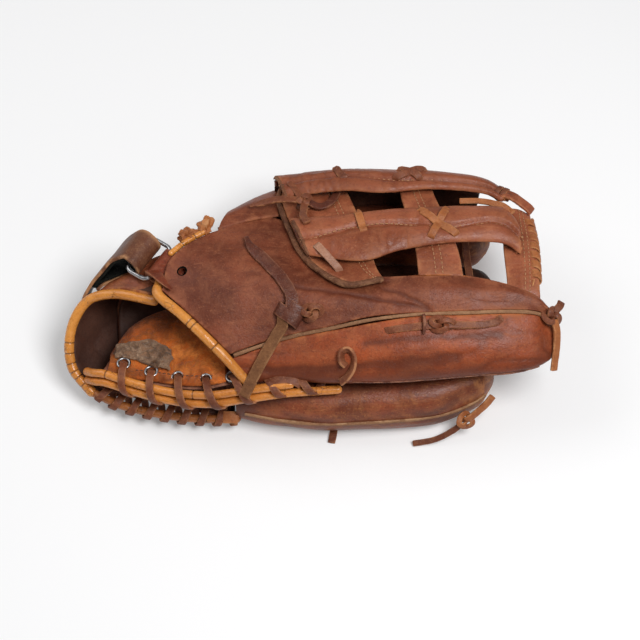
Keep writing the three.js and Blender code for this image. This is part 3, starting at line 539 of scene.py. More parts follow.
def worn_hide_group():
    """Leather that is blotched, rubbed pale on its edges, and darkened by painted shade in its creases and
    shaded places.
    """
    marks = {"Crease": VALUE, "Edge": VALUE, "Blotch": VALUE, "Scuff": VALUE, "Gloss": VALUE}
    outputs = {"Color": COLOUR, "Roughness": VALUE, "Height": VALUE}
    group, given, result = new_group("worn_hide", {**THREE_COLOURS, **marks}, outputs)
    where = object_place(group)
    large = between(group, noise(group, where, 26, 4), 0.36, 0.66)
    middle = between(group, noise(group, where, 95, 5, 0.62, 0.6), 0.4, 0.68)
    fine = noise(group, where, 520, 4, 0.6)
    rubbed = between(group, noise(group, stretched(group, (30, 150, 150)), 2.2, 6, 0.7), 0.56, 0.72)
    scratch = between(group, noise(group, stretched(group, (60, 700, 700)), 1.0, 2, 0.5), 0.66, 0.74)
    fleck = between(group, noise(group, where, 760, 3, 0.65), 0.56, 0.7)
    wander = noise(group, stretched(group, (45, 110, 110)), 1.0, 4, 0.6, 1.2)
    wander = maths(group, "ABSOLUTE", maths(group, "SUBTRACT", wander, 0.5))
    vein = scaled(group, between(group, wander, 0.016, 0.0), 0.35)
    worn = scaled(group, rubbed, given["Scuff"])
    layers = [
        (scaled(group, large, given["Blotch"]), "Dark"),
        (scaled(group, scaled(group, middle, given["Blotch"]), 0.34), "Pale"),
        (worn, "Pale"),
        (scaled(group, scratch, 0.3), "Pale"),
        (scaled(group, between(group, fine, 0.52, 0.66), 0.34), "Dark"),
        (scaled(group, fleck, 0.4), "Pale"),
        (vein, "Dark"),
        # Painted shade from the mask, laid over as the dark colour.
        (scaled(group, given["Crease"], 0.75), "Dark"),
        (scaled(group, given["Edge"], between(group, middle, -0.2, 0.7)), "Pale"),
    ]
    dull = given["Gloss"]
    for mark, share in ((middle, 0.14), (worn, 0.18), (given["Edge"], 0.2)):
        dull = maths(group, "ADD", dull, scaled(group, mark, share), clamp=True)
    pores = dimples(group, where, 1050.0)
    pebble = dimples(group, where, 420.0)
    height = scaled(group, fine, 0.5)
    for mark, share in ((pores, 0.35), (pebble, 0.3), (middle, 0.3), (scratch, -0.3), (vein, -0.5)):
        height = maths(group, "ADD", height, scaled(group, mark, share))
    group.links.new(layered(group, given, layers), result["Color"])
    group.links.new(dull, result["Roughness"])
    group.links.new(height, result["Height"])
    return group


def nap_group():
    """Short fibres: suede, felt and pile, darkened by the painted shade in their mask."""
    marks = {"Tuft": VALUE, "Stain": VALUE, "Soil": VALUE}
    group, given, result = new_group("nap", {**THREE_COLOURS, **marks}, {"Color": COLOUR, "Height": VALUE})
    where = object_place(group)
    clump = between(group, noise(group, where, given["Tuft"], 5, 0.65, 0.8), 0.36, 0.66)
    fibre = noise(group, stretched(group, (900, 2600, 1400)), 1.0, 3, 0.7)
    stain = between(group, noise(group, where, 60, 5, 0.65, 0.5), 0.42, 0.62)
    layers = [
        (clump, "Pale"),
        (scaled(group, stain, given["Stain"]), "Dark"),
        (scaled(group, given["Soil"], between(group, clump, -0.5, 0.8)), "Dark"),
        (scaled(group, between(group, fibre, 0.45, 0.75), 0.45), "Dark"),
    ]
    group.links.new(layered(group, given, layers), result["Color"])
    group.links.new(maths(group, "ADD", clump, scaled(group, fibre, 0.8)), result["Height"])
    return group


def dry_crack_group():
    """Cracks in a dry, glossy binding: 1 in a crack."""
    group, given, result = new_group("dry_crack", {"Scale": VALUE, "Width": VALUE}, {"Crack": VALUE})
    where = object_place(group)
    wobble = add_node(group, "ShaderNodeTexNoise", {"Vector": where, "Scale": 240.0, "Detail": 3.0})
    swing = {0: wobble.outputs["Color"], 3: 0.0035}
    small = add_node(group, "ShaderNodeVectorMath", swing, operation="SCALE").outputs[0]
    bent = add_node(group, "ShaderNodeVectorMath", {0: where, 1: small}, operation="ADD").outputs[0]
    inputs = {"Vector": bent, "Scale": given["Scale"]}
    cells = add_node(group, "ShaderNodeTexVoronoi", inputs, feature="DISTANCE_TO_EDGE").outputs[0]
    patchy = between(group, noise(group, where, 70, 2), 0.52, 0.66)
    line = add_node(group, "ShaderNodeMapRange", {0: cells, 1: given["Width"], 2: 0.0}).outputs[0]
    group.links.new(maths(group, "MULTIPLY", line, patchy, clamp=True), result["Crack"])
    return group


WORN_HIDE = worn_hide_group()
NAP = nap_group()
DRY_CRACK = dry_crack_group()


# Finishes

LEATHER_SPECULAR = 0.27
CRACK_COLOUR = (0.10, 0.035, 0.012)


def new_finish(name):
    finish = bpy.data.materials.new(name)
    finish.use_nodes = True
    return finish, finish.node_tree, finish.node_tree.nodes["Principled BSDF"]


def attribute(tree, name):
    return add_node(tree, "ShaderNodeAttribute", attribute_name=name).outputs["Fac"]


def rgb(*colour):
    return (*colour, 1.0)


def placed(tree, group, main, dark, pale, **inputs):
    """A shader group with a finish's three colours and its other inputs."""
    colours = {"Main": rgb(*main), "Dark": rgb(*dark), "Pale": rgb(*pale)}
    return add_node(tree, "ShaderNodeGroup", {**colours, **inputs}, node_tree=group).outputs


def bump(tree, shader, height, depth):
    made = add_node(tree, "ShaderNodeBump", {"Height": height, "Distance": depth * MM, "Strength": 1.0})
    tree.links.new(made.outputs[0], shader.inputs["Normal"])


def leather(name, main, dark, pale, blotch, scuff, gloss, depth=0.22):
    finish, tree, shader = new_finish(name)
    look = placed(tree, WORN_HIDE, main, dark, pale, Blotch=blotch, Scuff=scuff, Gloss=gloss,
                  Crease=attribute(tree, "crease_and_shade"), Edge=attribute(tree, "edge"))
    shader.inputs["Specular IOR Level"].default_value = LEATHER_SPECULAR
    tree.links.new(look["Color"], shader.inputs["Base Color"])
    tree.links.new(look["Roughness"], shader.inputs["Roughness"])
    bump(tree, shader, look["Height"], depth)
    return finish


def napped(name, main, dark, pale, tuft, depth, sheen, stain):
    finish, tree, shader = new_finish(name)
    look = placed(tree, NAP, main, dark, pale, Tuft=tuft, Stain=stain, Soil=attribute(tree, "crease_and_shade"))
    tree.links.new(look["Color"], shader.inputs["Base Color"])
    shader.inputs["Roughness"].default_value = 0.95
    shader.inputs["Sheen Weight"].default_value = sheen
    shader.inputs["Specular IOR Level"].default_value = 0.1
    bump(tree, shader, look["Height"], depth)
    return finish


def cracked_binding(name, main, dark, pale):
    """Glossy bound edge whose coating has cracked."""
    finish, tree, shader = new_finish(name)
    look = placed(tree, WORN_HIDE, main, dark, pale, Blotch=0.45, Scuff=0.12, Gloss=0.2)
    fine_cracks = {"Scale": 300.0, "Width": 0.05}
    crack = add_node(tree, "ShaderNodeGroup", fine_cracks, node_tree=DRY_CRACK).outputs["Crack"]
    colour = look["Color"]
    for share in (crack, attribute(tree, "crease_and_shade")):
        colour = blend_colour(tree, share, colour, rgb(*CRACK_COLOUR))
    tree.links.new(colour, shader.inputs["Base Color"])
    tree.links.new(look["Roughness"], shader.inputs["Roughness"])
    bump(tree, shader, maths(tree, "SUBTRACT", scaled(tree, look["Height"], 0.3), crack), 0.35)
    return finish


def steel(name, colour, roughness):
    finish, tree, shader = new_finish(name)
    tarnish = between(tree, noise(tree, object_place(tree), 300, 4), 0.45, 0.7)
    tarnished = blend_colour(tree, tarnish, rgb(*colour), rgb(*(0.45 * c for c in colour)))
    scratches = scaled(tree, noise(tree, stretched(tree, (90, 900, 900)), 2, 3), 0.3)
    shader.inputs["Metallic"].default_value = 1.0
    tree.links.new(tarnished, shader.inputs["Base Color"])
    tree.links.new(maths(tree, "ADD", scratches, roughness), shader.inputs["Roughness"])
    return finish


def thread(name, colour, dark):
    """Waxed thread with a twist."""
    finish, tree, shader = new_finish(name)
    inputs = {"Vector": object_place(tree), "Scale": 420.0, "Distortion": 2.0}
    twist = add_node(tree, "ShaderNodeTexWave", inputs, bands_direction="DIAGONAL").outputs["Fac"]
    tree.links.new(blend_colour(tree, twist, rgb(*dark), rgb(*colour)), shader.inputs["Base Color"])
    shader.inputs["Roughness"].default_value = 0.7
    bump(tree, shader, twist, 0.1)
    return finish


BACK_LEATHER = leather("back_leather", (0.215, 0.055, 0.024), (0.085, 0.018, 0.008), (0.36, 0.125, 0.055),
                       0.8, 0.4, 0.42)
FRONT_LEATHER = leather("front_leather", (0.37, 0.074, 0.021), (0.09, 0.02, 0.009), (0.47, 0.15, 0.048),
                        0.55, 0.3, 0.4)
STALL_LEATHER = leather("stall_leather", (0.27, 0.066, 0.028), (0.065, 0.016, 0.008), (0.5, 0.2, 0.065),
                        0.6, 0.3, 0.36)
WEB_FINISH = leather("web_leather", (0.33, 0.094, 0.044), (0.13, 0.03, 0.012), (0.47, 0.18, 0.075),
                     0.6, 0.35, 0.34)
# Painted shade: a near-black copy of the stall leather, for leather deep in the pocket.
SHADED_POCKET_LEATHER = leather("shaded_pocket_leather", (0.042, 0.013, 0.007), (0.02, 0.006, 0.004),
                         (0.12, 0.045, 0.021), 0.6, 0.3, 0.45)
PALM_FINISH = leather("palm_leather", (0.19, 0.062, 0.034), (0.085, 0.026, 0.014), (0.33, 0.14, 0.08),
                      0.6, 0.3, 0.45)
WALL_LEATHER = leather("wrist_wall_leather", (0.09, 0.036, 0.023), (0.035, 0.013, 0.009),
                       (0.1, 0.045, 0.028), 0.6, 0.35, 0.5)
STRAP_LEATHER = leather("strap_leather", (0.135, 0.044, 0.021), (0.07, 0.02, 0.01), (0.42, 0.21, 0.1),
                        0.55, 0.3, 0.42)
TAB_LEATHER = leather("tab_leather", (0.2, 0.035, 0.013), (0.06, 0.013, 0.007), (0.34, 0.13, 0.06),
                      0.5, 0.15, 0.38)
LACE_LEATHER = leather("lace_leather", (0.205, 0.06, 0.026), (0.085, 0.022, 0.011), (0.42, 0.18, 0.08),
                       0.6, 0.3, 0.45, 0.3)
DARK_LACE = leather("dark_lace_leather", (0.115, 0.031, 0.017), (0.05, 0.013, 0.008), (0.27, 0.11, 0.06),
                    0.6, 0.2, 0.3, 0.3)
ORANGE_LACE = leather("orange_lace_leather", (0.42, 0.14, 0.042), (0.2, 0.055, 0.018), (0.52, 0.24, 0.1),
                      0.6, 0.25, 0.42, 0.3)
FLESH_LACE = leather("flesh_lace_leather", (0.21, 0.085, 0.031), (0.1, 0.036, 0.014), (0.33, 0.16, 0.07),
                     0.6, 0.3, 0.7, 0.4)
PALE_LACE = leather("pale_lace_leather", (0.4, 0.19, 0.115), (0.2, 0.075, 0.04), (0.52, 0.31, 0.21),
                    0.5, 0.3, 0.4, 0.3)
WELT_LEATHER = leather("welt_leather", (0.33, 0.165, 0.08), (0.15, 0.06, 0.027), (0.44, 0.26, 0.14),
                       0.6, 0.4, 0.6, 0.3)
RAW_EDGE = leather("raw_edge_leather", (0.19, 0.068, 0.028), (0.07, 0.024, 0.012), (0.38, 0.19, 0.1),
                   0.7, 0.5, 0.6, 0.4)
PIPING = cracked_binding("piping_leather", (0.7, 0.27, 0.05), (0.4, 0.12, 0.018), (0.82, 0.42, 0.11))
HEEL_PIPING = cracked_binding("heel_piping_leather", (0.66, 0.235, 0.042), (0.34, 0.095, 0.016),
                              (0.8, 0.38, 0.1))
# Painted shade: a darker copy of the heel piping, for the pinky's row, which lies in shade under the heel.
SHADED_PINKY_PIPING = cracked_binding("shaded_pinky_piping_leather", (0.34, 0.11, 0.027), (0.17, 0.05, 0.014),
                               (0.5, 0.21, 0.07))
SUEDE = napped("suede_lining", (0.6, 0.135, 0.021), (0.15, 0.031, 0.007), (0.74, 0.23, 0.046),
               150.0, 0.7, 0.1, 0.55)
FELT = napped("felt_pad", (0.34, 0.18, 0.1), (0.11, 0.048, 0.022), (0.52, 0.33, 0.21), 260.0, 1.5, 0.1, 0.5)
PILE = napped("black_pile", (0.016, 0.016, 0.013), (0.008, 0.008, 0.007), (0.035, 0.035, 0.03),
              700.0, 1.0, 0.0, 0.6)
STEEL = steel("steel", (0.5, 0.5, 0.51), 0.16)
BLACKENED = steel("blackened_steel", (0.012, 0.011, 0.01), 0.5)
TAN_THREAD = thread("tan_thread", (0.5, 0.25, 0.12), (0.3, 0.13, 0.055))
DARK_THREAD = thread("dark_thread", (0.16, 0.065, 0.033), (0.07, 0.026, 0.013))

# Camera, light and floor

PHOTO_SIZE = 640
VIEW_TARGET = np.array([0.0, 0.0, 40.0])
VIEW_DISTANCE = 1300.0
VIEW_ELEVATION = math.radians(60)
FOCAL_PIXELS = 1885.0
SENSOR = 36.0
LAMP_TARGET = (0, 0, 0.04)
FLOOR_RADIUS = 9
FLOOR_COLOUR = (0.78, 0.78, 0.785)
FLOOR_GLOW = 0.17
WORLD_LIGHT = 0.24
WHITE = (1, 1, 1)


def look_at(thing, target):
    """Turns a camera or lamp to a point in the frame."""
    way = np.asarray(target) - np.array(thing.location)
    flat = math.hypot(way[0], way[1])
    heading = math.atan2(-way[0], way[1]) if flat > 1e-6 else 0
    thing.rotation_euler = (math.atan2(flat, -way[2]), 0, heading)


def make_camera():
    bpy.ops.object.camera_add()
    camera = bpy.context.object
    camera.data.sensor_width = SENSOR
    camera.data.lens = FOCAL_PIXELS * SENSOR / PHOTO_SIZE
    back = np.array([0, -math.cos(VIEW_ELEVATION), math.sin(VIEW_ELEVATION)])
    camera.location = place(VIEW_TARGET + VIEW_DISTANCE * back)
    look_at(camera, place(VIEW_TARGET))
    bpy.context.scene.camera = camera


def make_lamp(name, location, size, power):
    bpy.ops.object.light_add(type="AREA", location=location)
    lamp = bpy.context.object
    lamp.name = name
    lamp.data.shape = "DISK"
    lamp.data.size = size
    lamp.data.energy = power
    look_at(lamp, LAMP_TARGET)


def make_floor():
    """A plain pale floor. It glows a little where it is seen, and lights nothing."""
    bpy.ops.mesh.primitive_circle_add(vertices=96, radius=FLOOR_RADIUS, fill_type="NGON",
                                      location=(0, 0, 0))
    floor = bpy.context.object
    floor.name = "floor"
    finish, tree, shader = new_finish("pale_floor")
    rays = add_node(tree, "ShaderNodeLightPath").outputs
    seen = rays["Is Camera Ray"]
    for kind in ("Is Glossy Ray", "Is Transmission Ray"):
        seen = maths(tree, "MAXIMUM", seen, rays[kind])
    shader.inputs["Base Color"].default_value = rgb(*FLOOR_COLOUR)
    shader.inputs["Roughness"].default_value = 0.9
    shader.inputs["Specular IOR Level"].default_value = 0.1
    shader.inputs["Emission Color"].default_value = rgb(*WHITE)
    tree.links.new(scaled(tree, seen, FLOOR_GLOW), shader.inputs["Emission Strength"])
    floor.data.materials.append(finish)


def make_world():
    world = bpy.data.worlds.new("studio")
    bpy.context.scene.world = world
    world.use_nodes = True
    back = world.node_tree.nodes["Background"]
    back.inputs["Color"].default_value = rgb(*WHITE)
    back.inputs["Strength"].default_value = WORLD_LIGHT


bpy.context.scene.view_settings.view_transform = "Standard"
make_camera()
make_world()
make_floor()
make_lamp("key", location=(0.45, -0.4, 1.25), size=0.6, power=14.0)
make_lamp("fill", location=(-0.8, 0.4, 1.0), size=1.0, power=5.0)

# Surfaces of the thumb half

THUMB_BACK = [
    [[-60, -42, 67], [-73, -31, 74.5], [-90, -16, 80.5], [-106, -2, 84]],
    [[-39, -35.5, 71], [-56, -16, 83.5], [-77, 5, 89], [-100, 23, 86]],
    [[-17, -31, 75], [-31, -8, 88.3], [-47, 18, 91], [-73, 45, 83]],
    [[7, -28, 80], [-2, -10, 88.8], [-10, 15, 86], [-28, 60, 76]],
    [[32, -24, 85.7], [30, -13, 90.2], [28, -3, 89.3], [20, 14, 84]],
    [[60, -23, 89], [60, -15, 92.8], [60, -7, 95], [60, 3, 94]],
    [[95, -22, 90], [95, -14.5, 93.8], [95, -7, 96], [95, 3, 94]],
    [[125, -20, 88.3], [125, -14, 92], [125, -8.5, 94], [125, -2, 92]],
    [[143, -19, 84.8], [144, -16, 87.3], [144, -12, 89], [143, -8, 88]],
    [[153, -20, 78.5], [155, -19, 79.5], [155, -17, 80.5], [153, -15, 81]],
    [[157, -21, 75], [159, -20.5, 75.5], [159, -19.5, 76], [157, -18, 76]],
]
THUMB_FRONT_NEAR = [
    [[-59, -44.5, 65], [-53, -51, 58], [-49, -55, 52], [-48, -52, 47]],
    [[-22, -34, 72.5], [-21, -48, 63.5], [-20, -54.5, 54], [-20, -50, 47]],
    [[14, -29.5, 79.5], [15, -48, 70.5], [15, -57.5, 58], [15, -50, 48]],
    [[60, -25, 87.5], [60, -46.5, 78.5], [60, -58.5, 62], [60, -45, 49]],
    [[95, -24, 88.5], [95, -45, 79], [95, -56, 63.5], [95, -43, 51]],
    [[125, -22, 86.8], [125, -43, 77], [125, -54, 64], [125, -43, 53]],
    [[143, -21, 83], [144, -38, 74.5], [146, -48.5, 65], [145, -41, 56]],
    [[152, -22, 76.5], [155, -33, 70.5], [156, -41, 64.5], [155, -35, 60]],
    [[157, -23, 73], [159, -27.5, 71], [159, -30.5, 68], [159, -29, 65]],
]
THUMB_FRONT_FAR = [
    [[-48, -42, 45], [-48, -28, 43], [-48, -14, 41]],
    [[-20, -35, 44], [-20, -14, 43], [-20, 4, 43]],
    [[15, -25, 46], [15, 4, 50], [15, 16, 60]],
    [[60, -15, 49], [60, 6, 62], [60, 6, 89]],
    [[95, -15, 51], [95, 6, 66], [95, 6, 89]],
    [[125, -16, 53], [125, 2, 68], [125, 1, 87]],
    [[143, -18, 57], [143, -7, 69], [143, -6, 83]],
    [[153, -21, 62], [153, -14, 69], [152, -13, 77]],
    [[158, -23, 66], [157, -19, 69], [156, -18, 73]],
]
THUMB_FRONT = [near + far for near, far in zip(THUMB_FRONT_NEAR, THUMB_FRONT_FAR)]
BACK_CREASES = [
    [[-20, -2], [7, -7], [44, -15], [70, -22]],
    [[43, -6], [63, -16], [72, -22]],
]
FRONT_CREASES = [
    [[-40, -49], [0, -52], [50, -52], [90, -50]],
    [[30, -40], [80, -38], [120, -36]],
]
WRIST_EDGE = np.array(THUMB_BACK[0], float)


def front_painted_shade(u, v):
    """Painted shade: the front is darker low down, where it turns under."""
    return 0.85 * ramp(u, 0.15, 0.33)


back_hide = hide(1, 0.7, 0.4, (34, 8, 8), BACK_CREASES, line_depth=0.7, line_width=1.6)
front_hide = hide(11, 0.7, 0.45, (40, 8, 8), FRONT_CREASES, line_depth=0.5, line_width=2.2,
                  shade=front_painted_shade)
back_panel = Panel(THUMB_BACK, -1, back_hide)
front_panel = Panel(THUMB_FRONT, 1, front_hide)

# Free lace ends. They are cords of their real length

KNOT_LIFT = LACE_WIDTH / 2 + CLEARANCE
LACE_LIFT = LACE_THICKNESS / 2 + 0.2
LACE_SECTION = {"power": 5, "sides": 20, "ends": "cut"}
KNOT_SECTION = {"power": 4, "sides": 16, "ends": "round"}


def on(panel, *places):
    """Points at shares u and v of a panel, each raised by its lift."""
    return [panel.at(u, v, lift)[0][0] for u, v, lift in places]


def lace_piece(name, points, up, width=LACE_WIDTH, spacing=1.0, waist=None, seed=0):
    """A flat lace through a few points, cut square at its ends."""
    route = line_through(points, spacing)
    shape = None if waist is None else waist(np.linspace(0, 1, len(route)))
    return sweep_piece(name, route, up, width, LACE_THICKNESS, wear=0.22, seed=seed, waist=shape,
                       **LACE_SECTION)


def free_lace(name, points, up, body, finish, width=LACE_WIDTH, waist=None, seed=0, nodes=()):
    """A lace end that lies free on the leather, from its knot to its cut tip."""
    piece = lace_piece(name, points, up, width, waist=waist, seed=seed)
    ride(piece, finish, "lace", body, *nodes)


def tail_taper(t):
    """A lace end that was cut to a point."""
    return 0.35 + 0.65 * ramp(1 - t, 0.0, 0.3)


pull_knot_at, pull_lobes_at = on(back_panel, (0.17, 0.215, KNOT_LIFT), (0.17, 0.272, KNOT_LIFT))
thumb_knot_at = on(front_panel, (0.045, 0.443, KNOT_LIFT - 0.6))[0]
tip_knot_at = np.array([154.0, -21.5, 81.5])
pinky_knot_at = np.array([100.0, -66.0, 18.0])
PULL_TAIL = on(back_panel, (0.22, 0.23, KNOT_LIFT + 1.4), (0.3, 0.24, LACE_LIFT + 1.6),
               (0.45, 0.236, LACE_LIFT + 1), (0.63, 0.222, LACE_LIFT + 1), (0.76, 0.218, LACE_LIFT + 1.6),
               (0.84, 0.226, LACE_LIFT + 2.4))
THUMB_TAIL = on(front_panel, (0.05, 0.455, KNOT_LIFT), (0.05, 0.5, LACE_LIFT + 1.2),
                (0.05, 0.55, LACE_LIFT + 0.8), (0.038, 0.585, LACE_LIFT + 1.0),
                (0.022, 0.6, LACE_LIFT + 2.4))
TIP_TAIL = [tip_knot_at + [1.5, -3, 0.5], [157.5, -30, 77], [157.5, -38, 71], [156.5, -45.5, 64],
            [156, -50, 59.5]]
PINKY_TAIL = [pinky_knot_at + [-3, -2, -2], [90, -71, 10.5], [78, -74.5, 4.6], [64, -76, 2.0]]
free_lace("pull_lace_tail", PULL_TAIL, (0.15, -0.3, 1), "thumb_side", DARK_LACE, PULL_LACE_WIDTH,
          tail_taper, 3, ("pull_lace",))
free_lace("thumb_tie_tail", THUMB_TAIL, (0, -0.45, 1), "thumb_side", LACE_LEATHER, LACE_WIDTH - 0.4, seed=5)
free_lace("thumb_tip_tail", TIP_TAIL, (0.5, -0.5, 0.7), "thumb_side", ORANGE_LACE, LACE_WIDTH - 0.2, seed=7)
free_lace("pinky_tie_tail", PINKY_TAIL, (0, -0.6, 0.8), "finger_side", LACE_LEATHER, LACE_WIDTH - 1.2,
          seed=9)

# Knots, and the rest of those ties


def lay_lace(name, points, up, finish, body, *nodes, **shape):
    """A lace in its place, on its body."""
    ride(lace_piece(name, points, up, **shape), finish, "lace", body, *nodes)


def knot_axes(along, out):
    """Unit vectors along a knot, across it and out of the leather."""
    out = unit(np.asarray(out, float))
    along = np.asarray(along, float)
    along = unit(along - (along @ out) * out)
    return along, np.cross(out, along), out


def tie_knot(name, centre, along, out, size, width, seed, finish, body, *nodes):
    """A lace tucked round itself: the path of an overhand knot, drawn flat against the leather."""
    s = np.linspace(0, 2 * math.pi, 97)
    along, across, out = knot_axes(along, out)
    x = (2 + np.cos(3 * s)) * np.cos(2 * s) * size[0] / 3
    y = (2 + np.cos(3 * s)) * np.sin(2 * s) * size[1] / 3
    z = np.sin(3 * s) * size[2]
    centre = np.asarray(centre, float)
    route = centre + x[:, None] * along + y[:, None] * across + z[:, None] * out
    face = 0.4 * unit(route - centre) + out
    knot = sweep_piece(name, route, face, width, LACE_THICKNESS, wear=0.2, seed=seed, **KNOT_SECTION)
    ride(knot, finish, "lace", body, *nodes)


def wind_coil(name, centre, along, out, radii, turns, pitch, width, seed, finish, body):
    """A lace wound round the lace that runs along an axis. radii are across the leather and out of it."""
    start = -0.6 * math.pi
    angle = np.linspace(start, start + 2 * math.pi * turns, int(60 * turns))
    along, across, out = knot_axes(along, out)
    ahead = pitch * (angle - angle.mean()) / (2 * math.pi)
    side = np.sin(angle)[:, None] * across
    rise = np.cos(angle)[:, None] * out
    route = np.asarray(centre, float) + ahead[:, None] * along + radii[0] * side + radii[1] * rise
    face = side / radii[0] + rise / radii[1]
    coil = sweep_piece(name, route, face, width, LACE_THICKNESS, wear=0.25, seed=seed, **LACE_SECTION)
    ride(coil, finish, "lace", body)


def standing_lace(name, panel, places, lift, seed):
    """A lace that stands on its edge on the leather."""
    path = catmull(np.array(places, float), np.linspace(0, 1, 60))
    route, out = panel.at(path[:, 0], path[:, 1], lift)
    face = unit(np.cross(out, np.gradient(route, axis=0))) + 0.7 * out
    return sweep_piece(name, route, face, LACE_WIDTH, LACE_THICKNESS, wear=0.2, seed=seed, **LACE_SECTION)


PULL_WAY = np.array([0.45, 0.75, 0.35])
PULL_OUT = np.array([-0.1, -0.45, 0.9])
PULL_LOWER = [
    pull_knot_at + [-4, -3, 0.5],
    *on(back_panel, (0.08, 0.18, LACE_LIFT + 1.6), (0.02, 0.15, LACE_LIFT + 2)),
    *on(front_panel, (0.1, 0.06, LACE_LIFT + 3)),
    [-48.5, -62, 55],
    [-51, -66, 52.5],
]
THUMB_INLAY = on(front_panel, (0.05, 0.328, -1.0), (0.05, 0.342, 0.8), (0.05, 0.38, LACE_LIFT + 0.2),
                 (0.05, 0.41, LACE_LIFT + 0.8), (0.045, 0.43, KNOT_LIFT - 1))
THUMB_CURL = on(front_panel, (0.075, 0.402, 0.5), (0.055, 0.404, 3.6), (0.03, 0.404, 4.6),
                (0.005, 0.402, 2.6))
LOOP_END = [(0.31, 0.246), (0.27, 0.26), (0.215, 0.271), (0.155, 0.273), (0.115, 0.263), (0.125, 0.25),
            (0.17, 0.249), (0.2, 0.257)]
TIP_STUB = [tip_knot_at + [1, 2, 0.5], [157.5, -16.5, 82.5], [160, -13.5, 82.5], [161, -10.5, 81.5]]
PINKY_STUB = [pinky_knot_at + [3, 1, 2], [108, -61.5, 22.5], [113.5, -57.5, 26], [117.5, -53.5, 29]]
PINKY_NUB = [[10, -62, 1.6], [9, -69, 1.5], [8, -75, 1.4]]
FINGER_LACE = [[99, -52, 33], [100, -40, 41.6], [103, -23, 38.6], [105, -3, 34.6], [105, 17, 31],
               [105, 36, 34.6], [103, 56, 38], [101, 74, 48], [99, 90, 42]]
wind_coil("pull_knot", pull_knot_at + [0.5, 0.5, -0.4], PULL_WAY, PULL_OUT, radii=(8.2, 3.6), turns=1.35,
          pitch=5.5, width=9.0, seed=13, finish=DARK_LACE, body="thumb_side")
tie_knot("pull_lobes", pull_lobes_at, (1, 0.3, 0), PULL_OUT, (6.6, 5.0, 2.8), 4.0, 14, LACE_LEATHER,
         "thumb_side")
lay_lace("pull_lace_lower", PULL_LOWER, (-0.35, -0.55, 0.9), FLESH_LACE, "thumb_side",
         width=PULL_LACE_WIDTH - 0.6, seed=15)
tie_knot("thumb_tie_knot", thumb_knot_at, (1, 0, 0), (0, -0.5, 0.87), (8.6, 4.6, 2.6), 3.6, 17,
         LACE_LEATHER, "thumb_side", "thumb_tie")
lay_lace("thumb_tie_inlay", THUMB_INLAY, (0, -0.45, 1), LACE_LEATHER, "thumb_side", width=LACE_WIDTH - 0.4,
         seed=19)
lay_lace("thumb_tie_curl", THUMB_CURL, (1, 0, 0), DARK_LACE, "thumb_side", width=LACE_WIDTH - 0.6, seed=20)
loop_end = standing_lace("thumb_loop_end", front_panel, LOOP_END, LACE_WIDTH / 2 + 0.2, 21)
ride(loop_end, LACE_LEATHER, "lace", "thumb_side", "thumb_loop_end")
tie_knot("thumb_tip_knot", tip_knot_at, (0.6, -0.6, 0), (0.4, -0.5, 0.8), (5.8, 5.0, 3.0), 4.0, 23,
         LACE_LEATHER, "thumb_side", "thumb_tip_tie")
lay_lace("thumb_tip_stub", TIP_STUB, (0.3, -0.3, 1), LACE_LEATHER, "thumb_side", seed=25)
tie_knot("pinky_knot", pinky_knot_at, (1, 0.5, 0.3), (0.3, -0.8, 0.5), (7.2, 4.6, 2.8), 3.8, 27,
         ORANGE_LACE, "finger_side", "pinky_tie")
lay_lace("pinky_tie_stub", PINKY_STUB, (0.4, -0.8, 0.5), ORANGE_LACE, "finger_side", seed=29)
lay_lace("pinky_lace_end", PINKY_NUB, (0, 0, 1), LACE_LEATHER, "finger_side", "pinky_lace_end", seed=31)
lay_lace("finger_lace", FINGER_LACE, (0, 0, 1), LACE_LEATHER, "finger_side", "finger_lace", spacing=2.0,
         seed=33)

# Thumb half: back, front, welt and the bound edge of the wrist

BORE_LENGTH = 20.0


def bore(piece, centres, axis, radius):
    """Cuts round holes through a piece of leather."""
    turn = mathutils.Vector(axis).to_track_quat("Z", "Y").to_euler()
    cutters = []
    for centre in centres:
        bpy.ops.mesh.primitive_cylinder_add(vertices=32, radius=radius * MM, depth=BORE_LENGTH * MM,
                                            location=place(centre), rotation=turn)
        cutters.append(bpy.context.object)
    for cutter in cutters:
        cutter.select_set(True)
    bpy.ops.object.join()
    cutter = bpy.context.object
    many = len(centres) > 1
    finish_with(piece, "BOOLEAN", object=cutter, operation="DIFFERENCE", solver="EXACT", use_self=many)
    bpy.data.objects.remove(cutter)
    soften(piece, 60)


vent_at, vent_out = back_panel.at(0.85, 0.08, -0.5)
thumb_back = sheet_piece("thumb_back", back_panel, SHELL, roll=0.8)
bore(thumb_back, vent_at, vent_out[0], VENT_RADIUS)
ride(thumb_back, BACK_LEATHER, "shell", "thumb_side", "thumb_back")
thumb_front = sheet_piece("thumb_front", front_panel, SHELL, roll=0.8)
ride(thumb_front, FRONT_LEATHER, "palm", "thumb_side", "thumb_front", "thumb_stay")


def welt_piece(name, points, up, width, height, seed):
    """A raw strip of leather that stands in a seam."""
    return sweep_piece(name, points, up, width, height, 5, 18, "cut", wear=0.12, seed=seed)


def between_edges(first, second, spacing, lift):
    """The line midway between two edges, raised out of the seam, and the ways that it faces."""
    gap = np.array([second[np.linalg.norm(second - p, axis=1).argmin()] for p in first])
    middle = np.hstack([(first + gap) / 2, gap - first])
    middle = evenly(middle, spacing)
    out = unit(np.cross(np.gradient(middle[:, :3], axis=0), middle[:, 3:]))
    out = out * np.sign(out[:, 2:])
    return middle[:, :3] + lift * out, out


back_rim = back_panel.at(0.0, np.linspace(0.01, 0.985, 220))[0]
front_rim = front_panel.at(0.0, np.linspace(0.005, 0.99, 400))[0]
seam_middle, seam_out = between_edges(back_rim, front_rim, 1.2, -1.6)
thumb_welt = welt_piece("thumb_welt", seam_middle, seam_out, 2.4, 5.0, 41)
ride(thumb_welt, WELT_LEATHER, "welt", "thumb_side", "thumb_welt")
